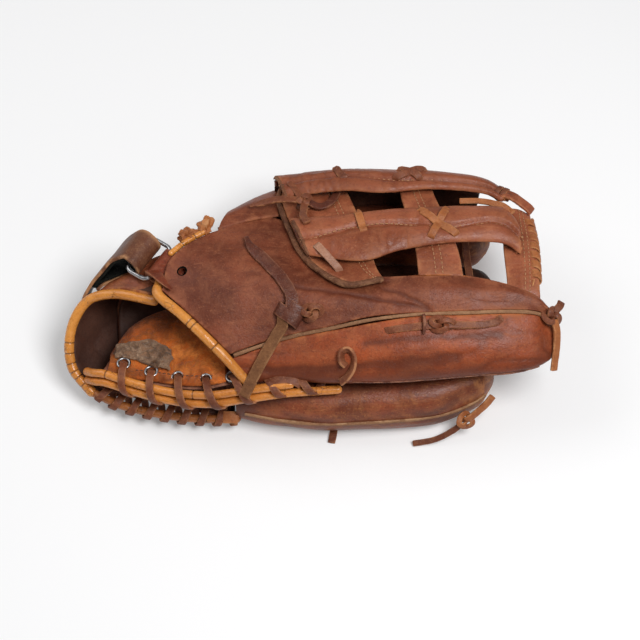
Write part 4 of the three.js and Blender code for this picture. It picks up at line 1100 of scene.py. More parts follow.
# Painted shade: the low seam takes the dark lace finish, as it lies in the shade under the thumb.
lower_seam = front_panel.at(np.linspace(0.345, 0.385, 80), np.linspace(0.27, 0.75, 80), 0.3)
ride(welt_piece("front_seam", *lower_seam, 0.9, 1.0, 42), DARK_LACE, "welt", "thumb_side")


def piping_piece(name, points, radius, breaks, seed):
    """A bound edge: a round cord of leather. Its covering has cracked across at shares of its length."""
    spacing = 0.45
    route = line_through(points, spacing)
    run = np.linspace(0, len(route) * spacing, len(route))
    pinch = np.zeros(len(route))
    for share in breaks:
        pinch = np.maximum(pinch, np.exp(-(((run - share * run[-1]) / 0.4) ** 2)))
    lump = 1 + 0.05 * mottle(route, 11, seed)
    return sweep_piece(name, route, (0.1, 0.2, 1), 2 * radius, 2 * radius, sides=20, wear=0.12, seed=seed,
                       waist=lump - 0.13 * pinch, creases=pinch)


def bind_edge(name, points, radius, breaks, seed, finish, body):
    """A bound edge in the place of its solid, on its body."""
    ride(piping_piece(name, points, radius, breaks, seed), finish, "piping", body, name)


WRIST_PIPING = [[-47, -57, 52], [-54, -51.5, 58.5], *(WRIST_EDGE + [-2.6, -2.4, -1]), [-108, 5, 80]]
WRIST_BREAKS = (0.36, 0.56, 0.6)
bind_edge("wrist_piping", WRIST_PIPING, WRIST_PIPING_RADIUS, WRIST_BREAKS, 43, PIPING, "thumb_side")


def eyelet_piece(name, centre, axis, radius, wire):
    """A set eyelet: a smooth rolled ring."""
    angle = np.linspace(0, 2 * math.pi, 33)
    axis = unit(np.asarray(axis, float))
    first = unit(np.cross(axis, [0.3, 0.9, 0.2]))
    second = np.cross(axis, first)
    turn = np.cos(angle)[:, None] * first + np.sin(angle)[:, None] * second
    tube = np.linspace(0, 2 * math.pi, 13)
    rings = np.asarray(centre, float) + turn[:, None] * (radius + wire * np.cos(tube))[:, None]
    rings = rings + axis * (0.9 * wire * np.sin(tube))[:, None]
    rings[-1] = rings[0]
    rings[:, -1] = rings[:, 0]
    piece = grid_piece(name, rings)
    edit(piece, merge, face_out)
    soften(piece, 80)
    return piece


def node_centre(node):
    """The middle of a solid, in drawing millimetres."""
    low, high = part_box(node)
    return (np.array(low) + np.array(high)) / (2 * MM) - ORIGIN


vent_eyelet = eyelet_piece("vent_eyelet", vent_at[0], vent_out[0], VENT_RADIUS - 0.3, VENT_WIRE)
ride(vent_eyelet, BLACKENED, "vent", "thumb_side", "vent_eyelet")

# Finger half: four stalls and the back panel under the hand

# Stations along each stall: x, y, z, half width and half height
FINGERS = {
    "pinky_stall": [[-57, -44, 20, 18.5, 17], [-15, -48.5, 19.5, 22, 20], [40, -48, 20.5, 22.5, 21],
                    [85, -44, 21, 20.5, 21.5], [110, -38, 22, 15, 18.5], [117, -36, 23, 7, 10]],
    "ring_stall": [[-57, -6, 14, 18, 15], [20, -5, 14, 20, 15.5], [85, -4, 15, 19, 16.5],
                   [114, -3, 17, 14, 15], [122, -3, 18, 6, 8]],
    "middle_stall": [[-57, 33, 14, 19, 15], [20, 36, 14, 20, 15.5], [85, 37, 15, 19, 16.5],
                     [114, 36, 17, 14, 15], [122, 36, 18, 6, 8]],
    "index_stall": [[-57, 74, 18, 20, 19], [20, 78, 22, 21, 24], [80, 78, 23, 20, 25],
                    [110, 74, 24, 15, 20], [119, 73, 25, 7, 10]],
}
STALL_DOME = ((1.6, 0.62), (2.4, 0.3), (2.6, 0.0))
STALL_FOLDS = (36, 9, 9)
STALL_SIDES = 72
FLOOR_GAP = 0.02
PINKY_WELT_RISE = 3.0


def thumb_shadow(points):
    """Painted shadow: the pinky stall is darkened where the thumb overhangs it."""
    x, y, z = np.moveaxis(points, -1, 0)
    edge = -56.5 + 0.13 * (x - 15)
    return ramp(y, edge - 5, edge + 3) * ramp(z, 14, 20) * ramp(x, 112, 90)


def index_pocket_shade(points):
    """Painted shade: the index stall is darkened on the side of the pocket."""
    return ramp(points[..., 2], 26, 36)


def stall_piece(name, stations, seed, shade):
    """A finger stall: a cup of leather, closed at the tip and pressed flat where it lies."""
    tip = np.array(stations[-1], float)
    line = line_through(stations, MESH_SPACING)
    dome = [[tip[0] + ahead, *tip[1:3], *(share * tip[3:])] for ahead, share in STALL_DOME]
    line = np.vstack([line, dome])
    a, b = oblong(1, 1, 2.5, STALL_SIDES)
    rings = np.repeat(line[:, None, :3], STALL_SIDES + 1, axis=1)
    rings[..., 1] += line[:, 3:4] * a
    rings[..., 2] += line[:, 4:5] * b
    spoke = np.zeros_like(rings)
    spoke[..., 1] = a
    spoke[..., 2] = b
    wrinkles = folds(rings, STALL_FOLDS, seed + 1)
    swell = 0.7 * mottle(rings, 24, seed) - 0.55 * wrinkles
    crease_and_shade = wrinkles * ramp(mottle(rings, 30, seed + 2), -0.2, 0.5)
    rings = rings + unit(spoke) * (swell * ramp(line[:, 4], 1, 8)[:, None])[..., None]
    rings[..., 2] = np.maximum(rings[..., 2], FLOOR_GAP)
    rings[:, -1] = rings[:, 0]
    piece = grid_piece(name, rings)
    # Painted shade in the wrinkles, and where shade() paints it.
    mask(piece, "crease_and_shade", crease_and_shade if shade is None else np.maximum(crease_and_shade, shade(rings)))
    worn_tip = ramp(rings[..., 0], tip[0] - 28, tip[0]) * (0.6 + 0.6 * mottle(rings, 7, seed + 3))
    mask(piece, "edge", np.clip(worn_tip, 0, 1))
    edit(piece, merge, face_out)
    finish_with(piece, "SOLIDIFY", thickness=STALL_WALL * MM, offset=-1)
    soften(piece, 70)
    return piece


STALL_SHADES = {"pinky_stall": thumb_shadow, "index_stall": index_pocket_shade}
# Painted shade: the ring and middle stalls take the near-black pocket finish.
for seed, (name, stations) in enumerate(FINGERS.items()):
    finish = SHADED_POCKET_LEATHER if name in ("ring_stall", "middle_stall") else STALL_LEATHER
    stall = stall_piece(name, stations, 51 + 7 * seed, STALL_SHADES.get(name))
    ride(stall, finish, "shell", "finger_side", name)
pinky_line = line_through(FINGERS["pinky_stall"], 1.2)
pinky_line = pinky_line[(pinky_line[:, 0] > -52) & (pinky_line[:, 0] < 113)]
pinky_seam = pinky_line[:, :3] + [0, 0.2, PINKY_WELT_RISE]
pinky_seam[:, 1] -= pinky_line[:, 3]
pinky_welt = welt_piece("pinky_welt", pinky_seam, (0, -0.9, 0.2), 1.8, 3.0, 44)
ride(pinky_welt, WELT_LEATHER, "welt", "finger_side", "pinky_welt")

FINGER_BACK = [
    [[-135, -42, 11], [-90, -53, 6], [-59, -60, 4]],
    [[-140, -12, 8], [-90, -15, 2], [-59, -15, 1.5]],
    [[-143, 14, 14], [-90, 25, 2], [-59, 30, 1.5]],
    [[-142, 25, 25], [-92, 52, 9], [-59, 76, 4]],
    [[-135, 30, 36], [-92, 62, 26], [-59, 94, 18]],
]
back_outside = Panel(FINGER_BACK, -1, hide(81, 0.3, 0.3))
back_inside = Panel(FINGER_BACK, 1, hide(83, 0.3, 0.3, lift=SHELL + CLEARANCE + LINING))
finger_back = sheet_piece("finger_back", back_outside, SHELL, worn=0.0)
ride(finger_back, STALL_LEATHER, "shell", "finger_side", "finger_back")
# Painted shade: the lining takes the dark wall finish, so that the inside seen through the hand opening reads
# as shaded.
ride(sheet_piece("finger_back_lining", back_inside, LINING, worn=0.0), WALL_LEATHER, "shell", "finger_side")

# Wrist: the scoop behind the wrist with its bound rim, the strap, its ring and the tab

BAND_SPAN = ([-160, -20, 30], [-115, 10, 68])
STRAP_SPAN = ([-158, 20, 35], [-135, 29, 74])
WRIST_BAND = [
    [[-157, -45, 19], [-145, -43, 12], [-130, -44, 8]],
    [[-170, -31, 27], [-155, -24, 13], [-135, -12, 5]],
    [[-172, -17, 38], [-160, -6, 22], [-138, 14, 9]],
    [[-168, -4, 48], [-158, 8, 36], [-138, 28, 21]],
    [[-158, 6, 57], [-148, 14, 48], [-130, 34, 33]],
    [[-140, 6, 65], [-134, 16, 58], [-118, 38, 43]],
    [[-112, -3, 71], [-108, 11, 71], [-103, 30, 62]],
]
WRIST_RIM = [row[0] for row in WRIST_BAND]
BAND_FOLDS = [
    [[-166, -12, 40], [-150, 6, 30], [-138, 20, 16]],
    [[-152, 8, 52], [-138, 22, 40]],
    [[-130, 8, 62], [-112, 30, 52]],
]
LOOP_BREAKS = (0.06, 0.11, 0.15, 0.2, 0.26, 0.32)
band_hide = hide(91, 0.9, 0.7, (16, 9, 9), BAND_FOLDS, line_depth=1.6, line_width=2.4)
band_panel = Panel(WRIST_BAND, 1, band_hide)
band = sheet_piece("wrist_band", band_panel, BAND_LEATHER, u_range=(0.11, 1))
bend(band, WALL_LEATHER, "shell", BAND_SPAN, "wrist_band")
loop = piping_piece("wrist_loop_piping", WRIST_RIM, WRIST_PIPING_RADIUS, LOOP_BREAKS, 45)
bend(loop, PIPING, "piping", BAND_SPAN, "wrist_loop_piping")

BAND_COLLAR = [
    [[-156, 8, 57], [-153, 13, 55], [-148, 18.5, 51]],
    [[-147, 9, 62.5], [-144, 16, 62.5], [-138, 23, 60]],
    [[-134, 8, 67.5], [-131, 17, 69.5], [-125, 28, 66.5]],
    [[-118, 2, 71.5], [-115, 15, 72.5], [-110, 36, 68]],
    [[-110, -1, 73], [-105, 12, 73], [-97, 34, 70]],
]
collar_panel = Panel(BAND_COLLAR, -1, hide(93, 0.5, 0.4, (12, 9, 9)))
bend(sheet_piece("wrist_collar", collar_panel, BAND_LEATHER - 1), STALL_LEATHER, "shell", BAND_SPAN)

RING_ALONG = unit(np.array([0.55, 0.835, 0.0]))
RING_ACROSS = unit(np.array([0.835, -0.55, 0.0]))
bar_half = RING_WIDTH / 2 - RING_WIRE_RADIUS
rail_half = STRAP_WIDTH / 2 + RING_PLAY + RING_WIRE_RADIUS


def on_ring(along, across, height):
    return RING_CENTRE + along * RING_ALONG + across * RING_ACROSS + np.array([0, 0, height])


def ring_piece():
    """A rounded oblong of wire."""
    corner = RING_CORNER
    points = []
    for quarter, (a, c) in enumerate([(1, 1), (-1, 1), (-1, -1), (1, -1)]):
        start = math.pi / 2 * quarter
        for turn in np.linspace(start, start + math.pi / 2, 9):
            points.append(on_ring(a * (rail_half - corner) + corner * math.cos(turn),
                                  c * (bar_half - corner) + corner * math.sin(turn), 0))
    line = np.array(points + points[:1])
    angle = np.linspace(0, 2 * math.pi, 17)
    way = unit(np.roll(line[:-1], -1, axis=0) - np.roll(line[:-1], 1, axis=0))
    side = np.cross(way, [0, 0, 1])
    spoke = np.cos(angle)[:, None] * side[:, None] + np.sin(angle)[:, None] * [0, 0, 1]
    rings = line[:-1, None] + RING_WIRE_RADIUS * spoke
    rings = np.concatenate([rings, rings[:1]])
    rings[:, -1] = rings[:, 0]
    piece = grid_piece("strap_ring", rings)
    edit(piece, merge, face_out)
    soften(piece, 80)
    return piece


ride(ring_piece(), STEEL, "steel", "ring", "strap_ring")

tab_turn = RING_WIRE_RADIUS + CLEARANCE + TAB_THICKNESS / 2
TAB_TURNS = [(18, tab_turn - 0.4), (9, tab_turn - 0.2), (0, tab_turn), (-tab_turn, 0), (0, -tab_turn),
             (9, -tab_turn), (18, -tab_turn)]
tab_line = line_through([on_ring(0, bar_half + across, height) for across, height in TAB_TURNS], 0.8)
tab = sweep_piece("ring_tab", tab_line, None, TAB_WIDTH, TAB_THICKNESS, 14, 40, "cut", RING_ALONG, wear=0.2,
                  seed=47)
ride(tab, TAB_LEATHER, "shell", "thumb_side", "ring_tab")


def round_bar(degrees, radius):
    """A point on the strap's turn round the ring's bar."""
    angle = math.radians(degrees)
    return on_ring(0, -bar_half + radius * math.cos(angle), radius * math.sin(angle))


STRAP_UPPER = [[-156, 20, 29], [-160.5, 19.5, 42], [-153.5, 26, 55], [-145, 30, 66], [-136.5, 34, 76]]
STRAP_ROUND = [round_bar(degrees, STRAP_LOOP_RADIUS) for degrees in (120, 75, 30, -15, -60)]
STRAP_LOWER = [[-127, 33.5, 61.5], [-135, 31.5, 57.5], [-145.5, 28, 52.5], [-152.5, 24, 47.5]]
STRAP_LEAN = np.array([-0.35, -0.03, -0.56])
PILE_START = 0.14
STRAP_FOOT = 0.07
LOWER_LEAN = 0.45
STRAP_ROUTE = np.array([*STRAP_UPPER, *STRAP_ROUND, *STRAP_LOWER])
round_start = len(STRAP_UPPER) / (len(STRAP_ROUTE) - 1)
round_end = 1 - len(STRAP_LOWER) / (len(STRAP_ROUTE) - 1)
strap_shares = np.linspace(STRAP_FOOT, 1, 400)
strap_points = catmull(STRAP_ROUTE, strap_shares)
strap_line = evenly(np.hstack([strap_points, strap_shares[:, None]]), 1.2)
strap_share = strap_line[:, 3]
strap_line = strap_line[:, :3]
leaning = ramp(strap_share, round_start, round_start / 4)
leaning = leaning + LOWER_LEAN * ramp(strap_share, round_end, 0.25 * round_end + 0.75)
strap_level = unit(RING_ALONG + STRAP_LEAN * leaning[:, None])
strap_inside = unit(np.cross(strap_level, unit(np.gradient(strap_line, axis=0))))
strap = sweep_piece("wrist_strap", strap_line, None, STRAP_WIDTH, STRAP_THICKNESS, 14, 44, "cut",
                    strap_level, wear=0.35, seed=49)
bend(strap, STRAP_LEATHER, "shell", STRAP_SPAN, "wrist_strap")
lined = strap_share >= PILE_START
pile_line = strap_line + (STRAP_THICKNESS + STRAP_PILE) / 2 * strap_inside
pile = sweep_piece("strap_lining", pile_line[lined], None, STRAP_WIDTH - 2 * STRAP_MARGIN, STRAP_PILE, 8,
                   44, "cut", strap_level[lined], wear=0.7, seed=53)
bend(pile, PILE, "pile", STRAP_SPAN, "strap_lining")

TONGUE = [[-114, 15, 80.5], [-111, 10.5, 84.5], [-107.5, 5, 88], [-103.5, 0, 88.8], [-99, -4, 87.6]]
tongue_line = line_through(TONGUE, 0.8)
tongue_taper = 1 - 0.85 * np.linspace(0, 1, len(tongue_line)) ** 2
tongue = sweep_piece("ring_tab_tongue", tongue_line, (0.2, 0.3, 1), 9.0, 2.0, 6, 24, "cut", wear=0.35,
                     seed=54, waist=tongue_taper)
ride(tongue, TAB_LEATHER, "shell", "thumb_side")

# Palm, its lining and the felt that shows inside the hand opening

PALM_UPPER = [
    [[-151, -40, 32], [-148, -35, 30], [-145, -31, 28]],
    [[-120, -49, 38], [-120, -30, 35], [-120, -12, 34]],
    [[-82, -57, 44], [-82, -35, 40], [-82, -6, 38]],
    [[-52, -51, 44], [-52, -38, 42], [-52, -15, 40]],
]
PALM_FOLD = [[-143, -28, 26], [-118, -3, 30], [-80, 7, 34], [-52, 12, 34]]
PALM_LOWER = [
    [[-145, -31, 24], [-148, -36, 22], [-152, -42, 20]],
    [[-120, -12, 26], [-120, -30, 24], [-120, -50, 17]],
    [[-82, -6, 30], [-82, -35, 28], [-82, -55, 20]],
    [[-59.5, -3, 30], [-59, -28, 33], [-59, -48, 35]],
]
PALM = [[*upper, fold, *lower] for upper, fold, lower in zip(PALM_UPPER, PALM_FOLD, PALM_LOWER)]
PALM_COLUMNS = 12
PALM_ROWS = 8
crease_middle = np.mean(PALM_FOLD, axis=0)
crease_across = np.array([-0.073, -0.032, 0.994])
PALM_SPAN = (crease_middle - 3 * crease_across, crease_middle + 3 * crease_across)


def flat_ramp(x, start, end):
    """A straight step from 0 at start to 1 at end."""
    return np.clip((x - start) / (end - start), 0, 1)


def lining_sink(u, v):
    """How far the lining lies under the palm's face: it goes over the pads."""
    over = flat_ramp(u, 0.08, 0.25) * flat_ramp(u, 0.92, 0.75)
    over = over * flat_ramp(v, 0, 0.25) * flat_ramp(v, 1, 0.75)
    return PALM_LEATHER + CLEARANCE + (PAD_THICKNESS + CLEARANCE) * over


def lining_lift(u, v):
    """How far the lining's face lies under the palm's."""
    return lining_sink(u, v) + LINING


def lining_shade(u, v):
    """The suede is darker under the wrist's edge, a painted shadow, and darker round the first eyelets."""
    return 0.75 * ramp(u, 0.19, 0.33) + 0.6 * ramp(u, 0.12, 0.06) * ramp(v, 0.7, 0.35)


palm_panel = Panel(PALM, 1, hide(101, 0.4, 0.4))
lining_panel = Panel(PALM, -1, hide(103, 0.35, 0.3, (9, 9, 9), lift=lining_lift, shade=lining_shade))
palm = sheet_piece("palm", palm_panel, PALM_LEATHER)
bend(palm, PALM_FINISH, "palm", PALM_SPAN, "palm", "heel_pad_thumb", "heel_pad_pinky")
LINING_ROWS = (0.5 / PALM_ROWS, 7 / PALM_ROWS)
palm_lining = sheet_piece("palm_lining", lining_panel, LINING, (0.004, 0.86), LINING_ROWS)
eyelet_centres = [node_centre(f"eyelet_{i + 1}") for i in range(EYELETS)]
bore(palm_lining, eyelet_centres, (0.0, 0.15, 1.0), EYELET_RADIUS - 0.5)
bend(palm_lining, SUEDE, "lining", PALM_SPAN, "palm_lining")

# Rows of the felt: the palm's row, and its first and last column
FELT_ROWS = [(0.8, 2.2, 4.2), (1.5, 1.9, 3.8), (2.4, 1.2, 3.5), (3.4, 0.96, 3.1), (4.2, 0.8, 2.4)]
palm_under = Panel(PALM, -1, no_relief)


def felt_row(row, first, last):
    """Points along one row of the felt, on the lining's face."""
    u = np.linspace(first, last, 4) / PALM_COLUMNS
    v = np.full(4, row / PALM_ROWS)
    return palm_under.at(u, v, lining_lift(u, v) + CLEARANCE)[0]


def felt_relief(points, u, v):
    """Matted lumps, with painted shade in the hollows between them."""
    lump = 1.5 * mottle(points, 9, 111) + 1.3 * mottle(points, 4, 113) + 0.6 * mottle(points, 2, 115)
    return FELT_THICKNESS + 0.8 + lump, ramp(lump, 0.2, -1.6)


felt_panel = Panel([felt_row(*row) for row in FELT_ROWS], -1, felt_relief)
felt = sheet_piece("lining_felt", felt_panel, FELT_THICKNESS, spacing=0.9, roll=1.2, ragged=4.0)
ride(felt, FELT, "felt", "thumb_side", "lining_felt")

# Heel: bound edges, the lace wound over them and its eyelets

HEEL_THUMB_EDGE = np.array([[-154, -42, 36], [-128, -52, 37], [-101, -61, 40], [-74, -65, 43],
                            [-47, -63, 47], [-20, -60, 49], [12, -58, 50]], float)
HEEL_PINKY_EDGE = np.array([[-157, -45, 19], [-137, -53, 15], [-110, -59, 13], [-82, -62, 12],
                            [-57, -62, 12]], float)
TIP_EDGE = np.array([[145, 58, 79], [147, 30, 85.5], [147, 0, 85.6]], float)
HEEL_INWARD = np.array([0, 1, -0.12])


def winding(edge, pitch, inward, outer, inner, inset, start, end, pull=None, hole=None):
    """A lace wound round an edge: its line, the ways it faces, the edge's normals and its count of turns.

    outer and inner are its reach and height. hole is the share of a turn at which it goes through an eyelet:
    with it, the lace is wound the other way through the same eyelets.
    """
    line = line_through(edge, 0.5)
    run = np.linspace(0, 1, len(line))
    length = np.linalg.norm(np.diff(line, axis=0), axis=1).sum()
    turns = length * (end - start) / pitch
    t = np.linspace(0, 1, int(turns * 40) + 1)
    spot = start + (end - start) * t
    point = np.stack([np.interp(spot, run, line[:, k]) for k in range(3)], axis=1)
    slope = np.gradient(line, axis=0)
    tangent = unit(np.stack([np.interp(spot, run, slope[:, k]) for k in range(3)], axis=1))
    inward = unit(inward - (tangent @ inward)[:, None] * tangent)
    normal = unit(np.cross(tangent, inward))
    angle = 2 * math.pi * (turns * t if hole is None else 2 * hole - turns * t)
    outside = ramp(np.cos(angle), -0.3, 0.4)
    reach = inner[0] + (outer[0] - inner[0]) * outside
    height = inner[1] + (outer[1] - inner[1]) * outside
    draw = np.ones(len(t)) if pull is None else pull(t)
    point = point + (draw * (inset - reach * np.cos(angle)))[:, None] * inward
    point = point + (draw * height * np.sin(angle))[:, None] * normal
    face = (-np.cos(angle) / reach)[:, None] * inward + (np.sin(angle) / height)[:, None] * normal
    return point, face, normal, turns


def wind_lace(name, wound, width, thickness, seed, finish, body):
    """A wound lace in the place of its solid, on its body."""
    route, face = wound[:2]
    lace = sweep_piece(name, route, face, width, thickness, 4, 16, "cut", wear=0.2, seed=seed)
    ride(lace, finish, "lace", body, name)


def heel_pull(t):
    """The heel's lace is drawn tighter towards the thumb."""
    return 1 - 0.42 * np.clip((t - 0.62) / 0.18, 0, 1)


HEEL_LACE_THICKNESS = LACE_THICKNESS - 0.2
TIP_INWARD = np.array([-1.0, 0, 0])
heel_wind = winding(HEEL_THUMB_EDGE, HEEL_LACE_PITCH, HEEL_INWARD, outer=(10.0, 8.4), inner=(11.5, 9.4),
                    inset=5.5, start=0.05, end=0.97, pull=heel_pull, hole=EYELET_SHARE)
pinky_wind = winding(HEEL_PINKY_EDGE, PINKY_LACE_PITCH, HEEL_INWARD, outer=(6.6, 5.2), inner=(7.0, 5.6),
                     inset=2.4, start=0.06, end=0.98)
tip_wind = winding(TIP_EDGE, TIP_LACE_PITCH, TIP_INWARD, outer=(3.2, 3.0), inner=(3.2, 3.0), inset=2.2,
                   start=0.02, end=0.98)
wind_lace("heel_lace_thumb", heel_wind, LACE_WIDTH, HEEL_LACE_THICKNESS, 121, LACE_LEATHER, "thumb_side")
wind_lace("heel_lace_pinky", pinky_wind, LACE_WIDTH, HEEL_LACE_THICKNESS, 123, LACE_LEATHER, "finger_side")
wind_lace("web_tip_lace", tip_wind, TIP_LACE_WIDTH, TIP_LACE_THICKNESS, 125, ORANGE_LACE, "thumb_side")
for i in range(EYELETS):
    step = int(round((i + EYELET_SHARE) / heel_wind[3] * (len(heel_wind[0]) - 1)))
    name = f"eyelet_{i + 1}"
    ring = eyelet_piece(name, node_centre(name), heel_wind[2][step], EYELET_RADIUS, EYELET_WIRE)
    ride(ring, STEEL, "steel", "thumb_side", name)
HEEL_TOP_LACES = [
    [[-35, -56.5, 52], [-31, -55.5, 54.5], [-24, -55, 55.2], [-17, -56, 54.6], [-13, -57.5, 52.5]],
    [[-13, -53, 52], [-9, -51, 54.6], [-4, -49, 56], [2, -47, 57.5], [5, -46.5, 58]],
]
for i, points in enumerate(HEEL_TOP_LACES):
    lay_lace(f"heel_top_lace_{i + 1}", points, (0, -0.3, 1), LACE_LEATHER, "thumb_side", seed=133 + i)
PINKY_TAB = [[-66, -63, 16.5], [-61, -63.5, 17], [-56, -63.5, 16.5]]
lay_lace("heel_pinky_tab", PINKY_TAB, (0, -0.5, 0.87), ORANGE_LACE, "finger_side", width=8.5, seed=135)
HEEL_ROUTE = np.vstack([[-159, -39.5, 29], [-153.5, -43.2, 34], [-147, -45, 36.3], HEEL_THUMB_EDGE[1:]])
LINING_ROUTE = HEEL_ROUTE[:-1] + [0, 3, 3.6]
PALM_ROUTE = HEEL_ROUTE + [0, 0, -2.9]
bind_edge("heel_piping_lining", LINING_ROUTE, PIPING_RADIUS, (0.12, 0.55), 127, HEEL_PIPING, "thumb_side")
bind_edge("heel_piping_palm", PALM_ROUTE, PIPING_RADIUS, (0.42,), 129, HEEL_PIPING, "thumb_side")
bind_edge("heel_piping_pinky", HEEL_PINKY_EDGE, PIPING_RADIUS, (0.3,), 131, SHADED_PINKY_PIPING, "finger_side")

# Web: two puffed straps on a base, with a bar across them and a bar at the tip

NEAR_POST = [
    [[-8, 18, 95], [-14.5, 36, 95], [-21, 52, 90]],
    [[28, 12, 98], [24, 32, 99], [20, 53, 94]],
    [[54, 21, 97], [50, 38, 99], [47, 56, 95]],
    [[88, 27, 97], [83, 42, 99], [78, 58, 95]],
    [[121, 28, 95], [121, 44, 97], [121, 60, 93]],
    [[135, 21, 92], [135.5, 37, 94], [131, 54, 90]],
]
FAR_POST = [
    [[-24, 73, 83], [-28, 86, 81], [-33, 98, 72]],
    [[14, 75, 88], [13, 90, 86], [12, 103, 72]],
    [[42, 72, 90], [48, 88, 88], [54, 103, 72]],
    [[76, 75, 90], [82, 87.5, 88], [88, 99, 74]],
    [[110, 73, 88], [112.5, 82, 87], [115, 91, 78]],
    [[125, 67, 86], [128, 72, 84.5], [131, 77, 79]],
]
WEB_BASE = [
    [[-24, 97, 66], [-6, 99, 63], [16, 100, 63]],
    [[-27, 78, 74], [-4, 78, 77], [20, 78, 79]],
    [[-20, 50, 82], [4, 51, 86], [27, 53, 87]],
    [[-11, 26, 87], [12, 27, 90], [33, 28, 91]],
    [[3, 8, 92], [21, 9, 92], [38, 10, 93]],
    [[20, -3, 95], [32, -1.5, 95], [42, 1, 95]],
]
CROSSBAR = [
    [[55, 104, 62], [66, 105, 62], [77, 105, 62]],
    [[55, 78, 83], [66, 78, 84], [78, 78, 84]],
    [[59, 50, 92], [72, 50, 94], [85, 50, 94]],
    [[64, 25, 92], [78, 25, 93], [93, 25, 92]],
    [[66, 5, 90], [80, 5, 90], [96, 5, 90]],
]
TOP_BAR = [
    [[129, 68, 78.5], [137, 66, 79.5], [145, 62, 78.5]],
    [[124, 38, 86], [136, 37, 88], [147, 35, 87]],
    [[125, 6, 87.5], [136, 3, 88], [147, -3, 86.5]],
    [[125, -6, 87], [136, -10, 85.5], [147, -15, 79.5]],
]
CROTCH_PANEL = [
    [[-70, 49, 81], [-48, 56, 80], [-22, 65, 74]],
    [[-66, 62, 78], [-46, 74, 75], [-24, 84, 68]],
    [[-63, 74, 62], [-46, 88, 58], [-32, 97, 56]],
    [[-60, 82, 38], [-45, 95, 34], [-30, 98, 34]],
]
NEAR_VALLEY = [(0.36, 0.0), (0.71, 0.21), (0.53, 0.52), (0.36, 0.63), (0.5, 0.76), (0.38, 1.0)]
FAR_VALLEY = [(0.49, 0.0), (0.44, 0.19), (0.33, 0.43), (0.31, 0.54), (0.36, 1.0)]
BASE_SPAN = ([-20, 95, 66], [0, 50, 86])
BAR_SPAN = ([66, 104, 62], [72, 55, 90])
CROTCH_SPAN = ([-45, 90, 40], [-50, 58, 78])


def puffed(valley, seed, painted_shade=0.0):
    """Relief of a strap folded over a filler: two rolls with a stitched valley between them. Its mask paints
    shade into the valley, the low sides and the pinches, and the last argument paints shade over the whole
    strap.
    """
    valley = np.array(valley)

    def relief(points, u, v):
        groove = np.interp(v, valley[:, 1], valley[:, 0])
        across = np.where(u < groove, u / groove, (u - groove) / (1 - groove))
        from_seam = np.where(u < groove, 1 - across, across)
        roll = np.sqrt(np.clip(4 * across * (1 - across), 0, 1)) * ramp(from_seam, -0.05, 0.22)
        pinch = folds(points, (5, 22, 22), seed) * ramp(mottle(points, 28, seed + 1), -0.4, 0.4)
        height = 3.4 * roll - 1.7 + 0.5 * mottle(points, 16, seed + 2) - 0.8 * pinch
        return height, np.clip(0.55 * pinch + 0.4 * ramp(roll, 0.45, 0.0) + painted_shade, 0, 1)

    return relief


near_post = Panel(NEAR_POST, -1, puffed(NEAR_VALLEY, 141))
# The far post is darker than the near one by painted shade.
far_post = Panel(FAR_POST, -1, puffed(FAR_VALLEY, 151, 0.35))
web_base = Panel(WEB_BASE, -1, hide(161, 0.5, 0.4, (12, 14, 14)))
crossbar = Panel(CROSSBAR, -1, hide(163, 0.4, 0.35, (12, 10, 10)))
top_bar = Panel(TOP_BAR, -1, hide(165, 0.4, 0.35, (12, 10, 10)))
crotch = Panel(CROTCH_PANEL, 1, hide(167, 0.8, 0.6, (10, 22, 22)))
POSTS = [("web_near_post", near_post, "thumb_side"), ("web_far_post", far_post, "finger_side")]
for name, panel, body in POSTS:
    post = sheet_piece(name, panel, POST_THICKNESS - 1.2, spacing=1.1, roll=1.8)
    ride(post, WEB_FINISH, "web", body, name)
bend(sheet_piece("web_base", web_base, WEB_LEATHER), WEB_FINISH, "web", BASE_SPAN, "web_base")
for name, panel, body in POSTS:
    rim, rim_out = panel.at(np.linspace(0.06, 0.84, 40), 0.004, -1.6)
    raw_end = sweep_piece(f"{name}_end", rim, rim_out, 2.4, 3.2, 4, 14, wear=0.3, seed=168)
    ride(raw_end, RAW_EDGE, "web", body)
BASE_EDGE = np.array([*(row[0] for row in WEB_BASE), WEB_BASE[-1][2]], float) + [-1.6, -1.2, -0.6]
base_edge = line_through(BASE_EDGE, 1.0)
binding = sweep_piece("web_base_binding", base_edge, (0, 0, 1), 3.6, 4.4, 3, 16, wear=0.35, seed=169)
bend(binding, RAW_EDGE, "dark_edge", BASE_SPAN, "web_base_binding")
across_bar = sheet_piece("web_crossbar", crossbar, WEB_LEATHER, spacing=1.2)
bend(across_bar, WEB_FINISH, "web", BAR_SPAN, "web_crossbar")
tip_bar = sheet_piece("web_top_bar", top_bar, WEB_LEATHER, spacing=1.2)
ride(tip_bar, WEB_FINISH, "web", "thumb_side", "web_top_bar")
SKIRT_LEATHER = WEB_LEATHER - 0.8
FAR_SKIRT = [
    [[-32, 94, 70], [-32, 97, 55], [-32, 92, 34]],
    [[12, 99, 70], [12, 101, 56], [12, 95, 36]],
    [[54, 101, 70], [54, 107, 58], [54, 97, 36]],
    [[78, 100, 71], [78, 107, 58], [78, 96, 36]],
    [[92, 95, 72], [92, 99, 57], [92, 93, 36]],
    [[112, 87, 76], [112, 92, 58], [110, 86, 34]],
]
SKIRT_INSIDE = np.array(FAR_SKIRT, float) - [0, SKIRT_LEATHER + CLEARANCE, 0]
skirt_outside = Panel(FAR_SKIRT, 1, hide(155, 0.6, 0.5, (14, 14, 14)))
skirt_inside = Panel(SKIRT_INSIDE, -1, hide(157, 0.6, 0.5, (14, 14, 14)))
skirt = sheet_piece("web_far_skirt", skirt_outside, SKIRT_LEATHER, worn=0.3)
ride(skirt, STALL_LEATHER, "web", "finger_side")
